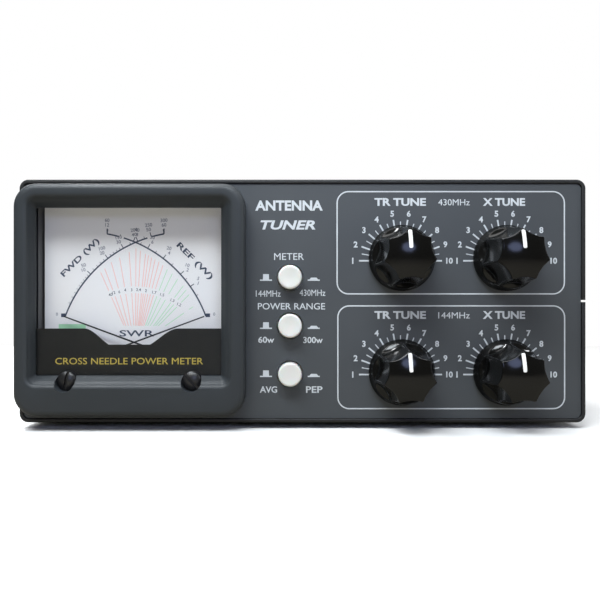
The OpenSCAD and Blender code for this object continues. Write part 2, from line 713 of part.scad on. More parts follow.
module ground_nuts() color("#d0c090") at_rear() at(stud_x, stud_z) {
  difference() {
    translate([0, 2.4, 0]) rotate([90, 0, 0]) cylinder(r = stud_r + 1.9, h = 2.4, $fn = 6);
    rod(stud_r, -1, 20);
  }
  difference() {
    union() {
      rod(5, 5, 11);
      rod(4, 3.4, 5.1);
    }
    rod(stud_r, -1, 20);
  }
}

// ---- output ----------------------------------------------------------------------

front_panel();
front_subpanel();
rear_panel();
side_rails();
top_cover();
bottom_cover();
cover_screws();
rail_screws();
rubber_feet();
foot_screws();
meter_bezel();
meter_window();
meter_mask();
dial_plate();
meter_case();
meter_screws();
movement_yokes();
movement_cores();
movement_bridges();
lamp_board();
fwd_needle();
fwd_coil();
ref_needle();
ref_coil();
zero_screw_fwd();
zero_screw_ref();
zero_lever_fwd();
zero_lever_ref();
knob_tr_430();
knob_x_430();
knob_tr_144();
knob_x_144();
grub_screw_tr_430();
grub_screw_x_430();
grub_screw_tr_144();
grub_screw_x_144();
rotor_tr_430();
rotor_x_430();
rotor_tr_144();
rotor_x_144();
capacitor_frames();
capacitor_stators();
shaft_bushings();
bushing_nuts();
button_band();
button_range();
button_peak();
switch_bodies();
switch_board();
meter_board();
coupler_box();
tuning_coils();
coax_shells();
coax_insulators();
coax_contacts();
flange_screws();
dc_jack();
ground_stud();
ground_nuts();
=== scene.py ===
"""Looks of a cross-needle power meter and antenna tuner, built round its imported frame.

Sizes are in millimetres from a datum: X to the right seen from the front, Y to the rear from the front
panel's face (or from the rear panel's face), Z up from half the case's height.
"""

import json
import logging
import math
from dataclasses import dataclass
from enum import Enum

import bmesh
import bpy
import numpy as np
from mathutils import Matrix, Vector


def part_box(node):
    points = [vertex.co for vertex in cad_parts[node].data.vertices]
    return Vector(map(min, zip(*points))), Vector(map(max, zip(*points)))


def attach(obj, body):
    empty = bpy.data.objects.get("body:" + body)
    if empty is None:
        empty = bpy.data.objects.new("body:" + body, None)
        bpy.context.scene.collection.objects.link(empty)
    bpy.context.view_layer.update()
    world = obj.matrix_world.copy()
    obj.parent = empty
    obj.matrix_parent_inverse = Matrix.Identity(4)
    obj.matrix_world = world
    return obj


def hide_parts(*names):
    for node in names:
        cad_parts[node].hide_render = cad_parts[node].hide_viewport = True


log = logging.getLogger("tuner")
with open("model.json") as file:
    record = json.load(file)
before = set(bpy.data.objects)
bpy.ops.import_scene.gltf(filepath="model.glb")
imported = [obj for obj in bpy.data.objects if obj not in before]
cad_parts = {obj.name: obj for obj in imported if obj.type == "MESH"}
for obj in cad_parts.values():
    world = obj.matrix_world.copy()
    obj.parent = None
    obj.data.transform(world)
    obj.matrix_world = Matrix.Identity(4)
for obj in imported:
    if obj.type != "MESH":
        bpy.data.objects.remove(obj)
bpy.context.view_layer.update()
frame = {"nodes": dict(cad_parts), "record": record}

MM = 0.001
EVEN = (1, 1, 1)
NEEDLE_ZERO = 20.3  # degrees between a needle at zero and the line through both pivots
SHARP_EDGE = math.radians(32)
TURN = 2 * math.pi
Colour = tuple[float, float, float]
Faces = list[list[int]]


# ---- shader maths ------------------------------------------------------------------


class Wire:
    """A shader socket that takes part in Python expressions."""

    def __init__(self, tree: "Tree", socket: bpy.types.NodeSocket) -> None:
        """Wraps one output socket.

        Args:
            tree: the node tree that the socket belongs to.
            socket: the output socket.
        """
        self.tree = tree
        self.socket = socket

    def _math(self, operation: str, first: object, second: object = 0.0) -> "Wire":
        """Adds the node for one operation and returns its result.

        Args:
            operation: the operation's name, the same for Math, Vector Math and Mix nodes.
            first: left operand, a Wire or a constant.
            second: right operand.

        Returns:
            A Math node's value, a Vector Math node's vector or a Mix node's colour, after this socket's type.
        """
        kind = self.socket.type
        if kind == "VALUE":
            return self.tree.add("ShaderNodeMath", {"operation": operation}, {0: first, 1: second})
        first, second = [(v, v, v) if isinstance(v, (int, float)) else v for v in (first, second)]
        if kind == "VECTOR":
            return self.tree.add("ShaderNodeVectorMath", {"operation": operation}, {0: first, 1: second})
        return self.tree.add(
            "ShaderNodeMix", {"data_type": "RGBA", "blend_type": operation}, {0: 1.0, 6: first, 7: second}, 2
        )

    def __add__(self, other: object) -> "Wire":
        """Sum."""
        return self._math("ADD", self, other)

    __radd__ = __add__

    def __mul__(self, other: object) -> "Wire":
        """Product."""
        return self._math("MULTIPLY", self, other)

    __rmul__ = __mul__

    def __sub__(self, other: object) -> "Wire":
        """Difference."""
        return self._math("SUBTRACT", self, other)

    def __rsub__(self, other: object) -> "Wire":
        """Difference with the operands turned round."""
        return self._math("SUBTRACT", other, self)

    def __truediv__(self, other: object) -> "Wire":
        """Quotient."""
        return self._math("DIVIDE", self, other)

    def __rtruediv__(self, other: object) -> "Wire":
        """Quotient with the operands turned round."""
        return self._math("DIVIDE", other, self)

    def __neg__(self) -> "Wire":
        """Negative."""
        return self._math("MULTIPLY", self, -1.0)

    def __pow__(self, other: object) -> "Wire":
        """Power, of a value only."""
        return self._math("POWER", self, other)

    def __rpow__(self, other: object) -> "Wire":
        """Power with the operands turned round, of a value only."""
        return self._math("POWER", other, self)

    def over(self, edge: float) -> "Wire":
        """One where the value is above the edge, else zero."""
        return self._math("GREATER_THAN", self, edge)


class Tree:
    """A material's nodes, all made by one method."""

    def __init__(self, name: str) -> None:
        """Starts an empty material.

        Args:
            name: the material's name.
        """
        self.material = bpy.data.materials.new(name)
        self.material.use_nodes = True
        self.nodes = self.material.node_tree.nodes
        self.nodes.clear()

    def add(self, kind: str, settings: dict, inputs: dict, output: object = 0) -> Wire:
        """Adds a node.

        Args:
            kind: the node's type, such as ShaderNodeMath.
            settings: attributes set first.
            inputs: socket name or number to a value or a Wire.
            output: name or number of the output to return.

        Returns:
            The chosen output.
        """
        node = self.nodes.new(kind)
        for key, value in settings.items():
            setattr(node, key, value)
        for key, value in inputs.items():
            if isinstance(value, Wire):
                self.material.node_tree.links.new(value.socket, node.inputs[key])
            elif isinstance(value, tuple) and len(value) == 3 and node.inputs[key].type == "RGBA":
                node.inputs[key].default_value = (*value, 1)
            else:
                node.inputs[key].default_value = value
        return Wire(self, node.outputs[output])

    def place(self, stretch: tuple[float, float, float] = EVEN) -> Wire:
        """Object coordinates, stretched per axis."""
        coords = self.add("ShaderNodeTexCoord", {}, {}, "Object")
        return coords if stretch == EVEN else coords * stretch

    def noise(self, scale: float, detail: float = 2.0, stretch: tuple[float, float, float] = EVEN) -> Wire:
        """Noise from 0 to 1, with scale in cycles per metre."""
        return self.add(
            "ShaderNodeTexNoise", {}, {"Vector": self.place(stretch), "Scale": scale, "Detail": detail}, "Fac"
        )

    def blend(self, factor: object, first: Colour, second: object) -> Wire:
        """Mixes two colours."""
        return self.add("ShaderNodeMix", {"data_type": "RGBA"}, {0: factor, 6: first, 7: second}, 2)

    def bump(self, height: Wire, depth: float) -> Wire:
        """A normal from a height, with depth in millimetres."""
        inputs = {"Height": height, "Distance": depth * MM, "Strength": 1.0}
        return self.add("ShaderNodeBump", {}, inputs, "Normal")

    def finish(self, shader: Wire) -> bpy.types.Material:
        """Joins the shader to the output and returns the material."""
        out = self.nodes.new("ShaderNodeOutputMaterial")
        self.material.node_tree.links.new(shader.socket, out.inputs["Surface"])
        return self.material


def srgb(red: int, green: int, blue: int) -> Colour:
    """Turns a display colour of 0 to 255 into the linear one: the usual sRGB curve."""
    levels = [v / 255 for v in (red, green, blue)]
    return tuple(v / 12.92 if v <= 0.04045 else ((v + 0.055) / 1.055) ** 2.4 for v in levels)


# ---- finishes ----------------------------------------------------------------------


@dataclass(frozen=True)
class Paint:
    """Sprayed or powder-coated metal: a fine orange peel over a mottled colour, with a little dust, and where
    set a painted glow: an emission that lightens the paint as if lit.
    """

    name: str
    slot: str
    colour: Colour
    dust: Colour
    roughness: float = 0.45
    grain: float = 2600.0
    depth: float = 0.03
    mottle: float = 0.3
    # painted glow: emission in the paint's own colour, painted light that brightens the surface though it is no
    # lamp
    painted_glow: float = 0.0

    def material(self) -> bpy.types.Material:
        """Builds the node material."""
        t = Tree(self.name)
        cloud = t.noise(45, 4)
        peel = t.noise(self.grain, 3)
        speck = t.noise(900, 2).over(0.70)
        colour = t.blend(cloud * self.mottle + speck * 0.12, self.colour, self.dust)
        shader = t.add(
            "ShaderNodeBsdfPrincipled",
            {},
            {
                "Base Color": colour,
                "Roughness": cloud * 0.12 + (self.roughness - 0.06),
                "Normal": t.bump(peel, self.depth),
                # The emission is painted light: it adds the painted glow to the paint's colour.
                "Emission Color": colour,
                "Emission Strength": self.painted_glow,
            },
            "BSDF",
        )
        return t.finish(shader)


@dataclass(frozen=True)
class Plastic:
    """Moulded plastic: a soft eroded grain, slow colour drift and faint wipe marks in the gloss."""

    name: str
    slot: str
    colour: Colour
    worn: Colour
    roughness: float = 0.4
    grain: float = 3500.0
    depth: float = 0.015
    wipe: float = 0.12
    coat: float = 0.0
    scatter: float = 0.0
    ior: float = 1.5

    def material(self) -> bpy.types.Material:
        """Builds the node material."""
        t = Tree(self.name)
        drift = t.noise(60, 3)
        wipes = t.noise(160, 4, (1, 1, 0.15))
        grain = t.noise(self.grain, 2)
        shader = t.add(
            "ShaderNodeBsdfPrincipled",
            {},
            {
                "Base Color": t.blend(drift * 0.5, self.colour, self.worn),
                "Roughness": wipes * self.wipe + (self.roughness - self.wipe / 2),
                "Normal": t.bump(grain, self.depth),
                "Coat Weight": self.coat,
                "Coat Roughness": 0.06,
                "IOR": self.ior,
                "Subsurface Weight": self.scatter,
                "Subsurface Scale": 0.002,
            },
            "BSDF",
        )
        return t.finish(shader)


@dataclass(frozen=True)
class Metal:
    """Bare or plated metal: fine drawn or turned marks, with patches that have dulled."""

    name: str
    slot: str
    colour: Colour
    dull: Colour
    roughness: float = 0.3
    marks: tuple[float, float, float] = (1, 0.05, 1)
    metallic: float = 1.0

    def material(self) -> bpy.types.Material:
        """Builds the node material."""
        t = Tree(self.name)
        patch = t.noise(120, 4)
        lines = t.noise(3000, 2, self.marks)
        shader = t.add(
            "ShaderNodeBsdfPrincipled",
            {},
            {
                "Base Color": t.blend(patch * 0.7, self.colour, self.dull),
                "Metallic": self.metallic,
                "Roughness": lines * 0.18 + patch * 0.1 + (self.roughness - 0.12),
                "Normal": t.bump(lines, 0.008),
            },
            "BSDF",
        )
        return t.finish(shader)


@dataclass(frozen=True)
class Ink:
    """Screen-printed ink: uneven cover, so the edge and the tone waver slightly."""

    name: str
    slot: str
    colour: Colour
    thin: Colour
    roughness: float = 0.5

    def material(self) -> bpy.types.Material:
        """Builds the node material."""
        t = Tree(self.name)
        cover = t.noise(700, 3)
        shader = t.add(
            "ShaderNodeBsdfPrincipled",
            {},
            {
                "Base Color": t.blend(cover * 0.8, self.colour, self.thin),
                "Roughness": cover * 0.1 + (self.roughness - 0.05),
                "Normal": t.bump(t.noise(4000, 2), 0.01),
            },
            "BSDF",
        )
        return t.finish(shader)


@dataclass(frozen=True)
class Board:
    """Circuit board: green solder mask over a grid of copper traces that show as lighter lines."""

    name: str
    slot: str
    colour: Colour
    trace: Colour

    def material(self) -> bpy.types.Material:
        """Builds the node material."""
        t = Tree(self.name)
        lines = t.add(
            "ShaderNodeTexBrick",
            {},
            {
                "Vector": t.place(),
                "Scale": 180.0,
                "Mortar Size": 0.03,
                "Color1": (0, 0, 0),
                "Color2": (0, 0, 0),
            },
            "Fac",
        )
        shader = t.add(
            "ShaderNodeBsdfPrincipled",
            {},
            {
                "Base Color": t.blend(lines, self.colour, self.trace),
                "Roughness": t.noise(200) * 0.1 + 0.25,
                "Normal": t.bump(lines, 0.03),
            },
            "BSDF",
        )
        return t.finish(shader)


@dataclass(frozen=True)
class Pane:
    """Clear acrylic: mostly see-through, mirroring more at a slant, with a trace of wipe haze."""

    name: str
    slot: str

    def material(self) -> bpy.types.Material:
        """Builds the node material."""
        t = Tree(self.name)
        clear = t.add("ShaderNodeBsdfTransparent", {}, {"Color": (0.97, 0.98, 0.985)})
        haze = t.noise(90, 3, (1, 1, 0.3))
        gloss = t.add(
            "ShaderNodeBsdfPrincipled",
            {},
            {"Base Color": (0.02, 0.02, 0.02), "Roughness": haze * 0.06 + 0.02, "Specular IOR Level": 0.5},
            "BSDF",
        )
        slant = t.add("ShaderNodeLayerWeight", {}, {"Blend": 0.5}, "Facing")
        return t.finish(t.add("ShaderNodeMixShader", {}, {0: slant**4 * 0.8 + 0.012, 1: clear, 2: gloss}, 0))


class Finishes:
    """Every finish of the tuner, made once and handed out by name."""

    ALL = (
        Paint(
            "panel_paint", "panel_paint", srgb(61, 65, 69), srgb(75, 79, 83),
            roughness=0.5, grain=3200, depth=0.03, mottle=0.45,
        ),
        Paint(
            "powder_coat", "cover_paint", srgb(18, 19, 20), srgb(30, 31, 32),
            roughness=0.5, grain=1500, depth=0.09, mottle=0.4,
        ),
        Plastic(
            "bezel_plastic", "bezel_plastic", srgb(40, 44, 48), srgb(49, 54, 58),
            roughness=0.5, grain=2600, depth=0.012, wipe=0.14, ior=1.42,
        ),
        Plastic(
            "knob_gloss", "knob_gloss", srgb(8, 8, 8), srgb(13, 13, 12),
            roughness=0.14, grain=1400, depth=0.004, wipe=0.08, ior=1.38,
        ),
        Plastic(
            "button_plastic", "button_plastic", srgb(214, 214, 211), srgb(226, 225, 221),
            roughness=0.33, grain=2500, depth=0.006, wipe=0.1, coat=0.2, scatter=0.15,
        ),
        Plastic("black_plastic", "black_plastic", srgb(20, 20, 22), srgb(34, 34, 36), roughness=0.33),
        Plastic(
            "foot_rubber", "foot_rubber", srgb(24, 24, 24), srgb(46, 45, 43),
            roughness=0.75, grain=1800, depth=0.05,
        ),
        Plastic("mask_black", "mask_black", srgb(10, 9, 7), srgb(18, 16, 12), roughness=0.55),
        Plastic("white_insulator", "white_insulator", srgb(226, 225, 216), srgb(206, 203, 190), roughness=0.4),
        # The dial's painted glow is painted light: a faint emission that makes the dial plate brighter as if
        # lit, though the plate is no lamp.
        Paint(
            "dial_white", "dial_white", srgb(224, 222, 227), srgb(236, 230, 226),
            roughness=0.5, grain=2600, depth=0.004, mottle=0.8, painted_glow=0.1,
        ),
        Paint("needle_black", "needle_black", srgb(20, 24, 30), srgb(30, 34, 42), roughness=0.5),
        Metal(
            "black_oxide", "black_screw", srgb(30, 30, 32), srgb(48, 47, 46),
            roughness=0.42, marks=EVEN, metallic=0.7,
        ),
        Metal(
            "bright_zinc", "bright_screw", srgb(190, 192, 194), srgb(150, 150, 148),
            roughness=0.3, marks=EVEN,
        ),
        Metal("plated_steel", "plated_steel", srgb(178, 180, 182), srgb(150, 150, 146), roughness=0.4),
        Metal("soft_iron", "soft_iron", srgb(98, 98, 100), srgb(74, 72, 70), roughness=0.45),
        Metal(
            "nickel_plate", "nickel_plate", srgb(205, 203, 196), srgb(170, 167, 158),
            roughness=0.22, marks=EVEN,
        ),
        Metal("brass", "brass", srgb(196, 160, 92), srgb(150, 116, 62), roughness=0.3, marks=EVEN),
        Metal("silver_plate", "silver_plate", srgb(214, 211, 202), srgb(180, 172, 152), roughness=0.3),
        Metal("copper_wire", "copper_wire", srgb(190, 104, 62), srgb(150, 74, 44), roughness=0.3),
        Board("circuit_board", "circuit_board", srgb(20, 84, 50), srgb(64, 130, 72)),
        Pane("window_acrylic", "window_acrylic"),
        Ink("panel_ink", "panel_paint", srgb(204, 209, 214), srgb(186, 192, 198)),
        Ink("mask_ink", "mask_black", srgb(196, 174, 76), srgb(172, 152, 64)),
        Ink("dial_ink_dark", "dial_white", srgb(52, 62, 84), srgb(74, 84, 104)),
        Ink("dial_ink_grey", "dial_white", srgb(112, 114, 132), srgb(140, 141, 156)),
        Ink("dial_ink_red", "dial_white", srgb(246, 176, 168), srgb(248, 200, 194)),
        Ink("dial_ink_green", "dial_white", srgb(166, 222, 176), srgb(192, 230, 198)),
        Ink("knob_ink", "knob_gloss", srgb(240, 240, 238), srgb(222, 222, 220), roughness=0.4),
        Ink("rear_ink", "cover_paint", srgb(206, 208, 210), srgb(178, 180, 184)),
    )

    def __init__(self) -> None:
        """Builds every material and notes its slot."""
        self.materials = {finish.name: finish.material() for finish in self.ALL}
        self.slots = {finish.name: finish.slot for finish in self.ALL}
        self.by_slot = {finish.slot: finish.name for finish in reversed(self.ALL)}


# ---- shapes ------------------------------------------------------------------------


@dataclass(frozen=True)
class Datum:
    """A point that millimetre sizes are counted from, and which way the sizes' X runs."""

    x: float
    y: float
    z: float
    sign: float = 1.0

    def place(self, points: np.ndarray) -> np.ndarray:
        """Turns millimetres from the datum into metres in the frame: scale, then shift."""
        return points * np.array([self.sign, self.sign, 1.0]) * MM + np.array([self.x, self.y, self.z])


def round_loop(
    half_w: float, half_h: float, radius: float, centre: tuple[float, float] = (0, 0), steps: int = 10
) -> np.ndarray:
    """A closed outline of a rectangle with rounded corners.

    Each corner is a quarter circle about a point one radius inside both sides: centre + radius (cos a, sin a).

    Args:
        half_w: half the rectangle's width.
        half_h: half its height.
        radius: the corners' radius.
        centre: the rectangle's middle.
        steps: stretches in each corner.

    Returns:
        Points (4 * (steps + 1), 2), counter-clockwise.
    """
    angles = np.linspace(0, math.pi / 2, steps + 1)[None, :] + np.arange(4)[:, None] * math.pi / 2
    signs = np.array([[1, 1], [-1, 1], [-1, -1], [1, -1]], float)
    corner = signs * np.array([half_w - radius, half_h - radius])
    arcs = corner[:, None, :] + radius * np.stack([np.cos(angles), np.sin(angles)], -1)
    return arcs.reshape(-1, 2) + np.array(centre)


def level(outline: np.ndarray, y: float) -> np.ndarray:
    """Puts an outline of X and Z at one depth, as (points, 3)."""
    return np.stack([outline[:, 0], np.full(len(outline), y), outline[:, 1]], -1)


def edge_steps(radius: float, steps: int = 4) -> np.ndarray:
    """A rounded edge as (inset, depth) pairs: radius (1 - cos a, sin a) read from the face inwards."""
    a = np.linspace(0, math.pi / 2, steps + 1)
    return np.stack([radius * (1 - np.sin(a)), radius * (1 - np.cos(a))], -1)


def turned(profile: np.ndarray, steps: int = 64, centre: tuple[float, float] = (0, 0)) -> np.ndarray:
    """A profile of (radius, y) turned about the Y axis: x = r cos a, z = r sin a.

    Args:
        profile: rows of radius and y.
        steps: points round each turn.
        centre: the axis's X and Z.

    Returns:
        Grid (len(profile), steps, 3).
    """
    a = np.linspace(0, TURN, steps, endpoint=False)
    r, y = profile[:, 0][:, None], profile[:, 1][:, None]
    return np.stack([centre[0] + r * np.cos(a), y + 0 * a, centre[1] + r * np.sin(a)], -1)


class Skin:
    """Collects grids, rings and loose faces, and makes them one mesh object."""

    def __init__(self) -> None:
        """Starts with no points."""
        self.points: list[np.ndarray] = []
        self.faces: Faces = []
        self.size = 0

    def raw(self, points: np.ndarray, faces: Faces) -> "Skin":
        """Adds points and the faces that number them.

        Args:
            points: new points.
            faces: lists of point numbers, counted from the first new point.

        Returns:
            This skin, so that calls chain.
        """
        self.points.append(points)
        self.faces.extend([[i + self.size for i in face] for face in faces])
        self.size += len(points)
        return self

    def grid(self, points: np.ndarray, rows_close: bool = False, cols_close: bool = True) -> "Skin":
        """Adds quads over a grid of points.

        Args:
            points: points (rows, cols, 3).
            rows_close: joins the last row to the first.
            cols_close: joins the last column to the first.

        Returns:
            This skin.
        """
        rows, cols = points.shape[:2]
        down = np.arange(rows if rows_close else rows - 1)
        along = np.arange(cols if cols_close else cols - 1)
        i, j = np.meshgrid(down, along, indexing="ij")
        i2, j2 = (i + 1) % rows, (j + 1) % cols
        quads = np.stack([i * cols + j, i * cols + j2, i2 * cols + j2, i2 * cols + j], -1)
        return self.raw(points.reshape(-1, 3), quads.reshape(-1, 4).tolist())

    def cap(self, ring: np.ndarray) -> "Skin":
        """Closes a ring with one flat face."""
        return self.raw(ring, [list(range(len(ring)))])

    def body(self, grid: np.ndarray) -> "Skin":
        """Adds a tube of rings and closes both its ends."""
        return self.grid(grid).cap(grid[0]).cap(grid[-1])

    def slab(self, outline: np.ndarray, y0: float, y1: float) -> "Skin":
        """Adds a plate of one outline between two depths."""
        return self.body(np.stack([level(outline, y0), level(outline, y1)]))

    def ribbon(self, outline: np.ndarray, inner: np.ndarray, y0: float, y1: float) -> "Skin":
        """Adds a flat closed band between two outlines.

        Args:
            outline: the outer outline.
            inner: the inner one, with as many points.
            y0: depth of the front.
            y1: depth of the back.

        Returns:
            This skin.
        """
        loops = [level(outline, y0), level(inner, y0), level(inner, y1), level(outline, y1)]
        return self.grid(np.stack(loops), rows_close=True)

    def bar(
        self, start: tuple[float, float], end: tuple[float, float], width: float, y0: float, y1: float
    ) -> "Skin":
        """Adds a straight flat stroke: its corners are the ends plus and minus half the width.

        Args:
            start: one end's X and Z.
            end: the other's.
            width: the stroke's width.
            y0: depth of the front.
            y1: depth of the back.

        Returns:
            This skin.
        """
        a, b = np.array(start, float), np.array(end, float)
        side = np.array([-(b - a)[1], (b - a)[0]]) / max(float(np.hypot(*(b - a))), 1e-9) * width / 2
        return self.slab(np.stack([a - side, b - side, b + side, a + side]), y0, y1)

    def make(self, name: str, datum: Datum, sharp: float = SHARP_EDGE) -> bpy.types.Object:
        """Makes the object: merged, faces outwards, smooth with sharp edges.

        Args:
            name: the piece's name.
            datum: what the sizes are counted from.
            sharp: edges that turn by more than this stay sharp.

        Returns:
            The new object, linked to the scene.
        """
        mesh = bpy.data.meshes.new(name)
        mesh.from_pydata(datum.place(np.concatenate(self.points)).tolist(), [], self.faces)
        work = bmesh.new()
        work.from_mesh(mesh)
        bmesh.ops.remove_doubles(work, verts=work.verts, dist=2e-6)
        bmesh.ops.recalc_face_normals(work, faces=work.faces)
        work.to_mesh(mesh)
        work.free()
        mesh.shade_smooth()
        mesh.set_sharp_from_angle(angle=sharp)
        thing = bpy.data.objects.new(name, mesh)
        bpy.context.scene.collection.objects.link(thing)
        return thing


def cut_away(piece: bpy.types.Object, tool: bpy.types.Object) -> None:
    """Takes the tool's space out of the piece, and removes the tool.

    Args:
        piece: the object that is cut.
        tool: a closed object whose inside is taken away.
    """
    cut = piece.modifiers.new("cut", "BOOLEAN")
    cut.operation, cut.solver, cut.object = "DIFFERENCE", "EXACT", tool
    bpy.context.view_layer.update()
    mesh = bpy.data.meshes.new_from_object(piece.evaluated_get(bpy.context.evaluated_depsgraph_get()))
    piece.modifiers.clear()
    piece.data = mesh
    mesh.shade_smooth()
    bpy.data.objects.remove(tool)


@dataclass(frozen=True)
class Legend:
    """One printed line: its words, middle, height, and width where that is set."""

    words: str
    x: float
    z: float
    height: float
    width: float | None = None
    bold: float = 0.0
    slant: float = 0.0
    turn: float = 0.0


def write(skin: Skin, legend: Legend, y: float, thick: float = 0.04) -> None:
    """Adds a legend as thin raised letters whose face is at depth y - thick.

    The letters' own box is scaled to the wanted height and width, turned, and set at its place.

    Args:
        skin: where the letters go.
        legend: what is printed, and where.
        y: depth of the printed face.
        thick: how far the letters stand proud.
    """
    curve = bpy.data.curves.new("letters", "FONT")
    curve.body = legend.words
    curve.resolution_u = 3
    curve.offset = legend.bold
    curve.shear = legend.slant
    curve.extrude = 0.5
    text = bpy.data.objects.new("letters", curve)
    bpy.context.scene.collection.objects.link(text)
    mesh = bpy.data.meshes.new_from_object(text.evaluated_get(bpy.context.evaluated_depsgraph_get()))
    points = np.empty(len(mesh.vertices) * 3)
    mesh.vertices.foreach_get("co", points)
    points = points.reshape(-1, 3)
    faces = [list(face.vertices) for face in mesh.polygons]
    bpy.data.objects.remove(text)
    bpy.data.curves.remove(curve)
    bpy.data.meshes.remove(mesh)
    low, high = points.min(0), points.max(0)
    tall = legend.height / (high[1] - low[1])
    wide = tall if legend.width is None else legend.width / (high[0] - low[0])
    u = (points[:, 0] - low[0] - (high[0] - low[0]) / 2) * wide
    v = (points[:, 1] - (low[1] + high[1]) / 2) * tall
    c, s = math.cos(math.radians(legend.turn)), math.sin(math.radians(legend.turn))
    depth = y - thick * (points[:, 2] + 0.5)
    skin.raw(np.stack([legend.x + u * c - v * s, depth, legend.z + u * s + v * c], -1), faces)


def polar(radius: float, degrees: float, centre: tuple[float, float] = (0, 0)) -> tuple[float, float]:
    """A point at a radius and an angle from +X about a centre."""
    a = math.radians(degrees)
    return centre[0] + radius * math.cos(a), centre[1] + radius * math.sin(a)


def arc_band(
    centre: tuple[float, float], radius: float, start: float, end: float, width: float, steps: int = 48
) -> np.ndarray:
    """The outline of a stretch of ring: one edge out, the other back.

    Args:
        centre: the ring's middle.
        radius: the radius of the band's middle line.
        start: first angle in degrees from +X.
        end: last angle.
        width: the band's width.
        steps: points along each edge.

    Returns:
        A closed outline of X and Z.
    """
    a = np.radians(np.linspace(start, end, steps))
    ray = np.stack([np.cos(a), np.sin(a)], -1)
    return np.concatenate([ray * (radius + width / 2), (ray * (radius - width / 2))[::-1]]) + np.array(centre)


# ---- the frame's places --------------------------------------------------------------


def rig() -> tuple[Datum, Datum, dict[str, tuple[float, float]]]:
    """Finds what everything else is placed from.

    Returns:
        The front datum, the rear datum, and each joint's X and Z in millimetres from the front one.
    """
    low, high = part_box("front_panel")
    middle = (low.z + high.z) / 2
    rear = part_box("rear_panel")[1].y
    pivots = {}
    for joint in frame["record"]["behaviour"]["joints"]:
        if "pos_m" in joint:
            x, _, z = joint["pos_m"]
            pivots[joint["name"]] = (x / MM, (z - middle) / MM)
    return Datum(0, low.y, middle), Datum(0, rear, middle, -1.0), pivots


FRONT, REAR, PIVOTS = rig()


def local_box(node: str) -> tuple[np.ndarray, np.ndarray]:
    """A node's corners in millimetres from the front datum."""
    origin = np.array([FRONT.x, FRONT.y, FRONT.z])
    return tuple((np.array(corner) - origin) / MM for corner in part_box(node))


class Side(Enum):
    """Which power a needle and its scale show, by the name that their joints and nodes carry."""

    FORWARD = "fwd"
    REFLECTED = "ref"

    def aim(self, degrees: float) -> float:
        """Angle from +X of a needle that stands some degrees above the line through both pivots."""
        return degrees if self is Side.REFLECTED else 180 - degrees

    def pivot(self) -> tuple[float, float]:
        """The needle's pivot."""
        return PIVOTS["swing_" + self.value]


class Workshop:
    """Dresses pieces: gives each its finish and its body, and reports it."""

    def __init__(self, finishes: Finishes) -> None:
        """Keeps the finishes.

        Args:
            finishes: every material by name.
        """
        self.finishes = finishes
        self.count = 0

    def dress(
        self, piece: bpy.types.Object, finish: str, body: str = "case", replaces: tuple[str, ...] = ()
    ) -> None:
        """Finishes one new piece.

        Args:
            piece: the object.
            finish: the finish's name.
            body: the body that it rides on.
            replaces: frame nodes that it stands for.
        """
        piece.data.materials.clear()
        piece.data.materials.append(self.finishes.materials[finish])
        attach(piece, body)
        if replaces:
            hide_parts(*replaces)
        self.count += 1
        log.info("piece %s: %s on %s, %d faces", piece.name, finish, body, len(piece.data.polygons))

    def repaint_frame(self) -> None:
        """Gives every frame node the finish of its record slot."""
        slots = {entry["node"]: entry["material_slot"] for entry in frame["record"]["subparts"]}
        for node, thing in frame["nodes"].items():
            material = self.finishes.materials[self.finishes.by_slot[slots[node]]]
            thing.data.materials.clear()
            thing.data.materials.append(material)
            log.info("frame node %s: %s", node, material.name)


# ---- case --------------------------------------------------------------------------


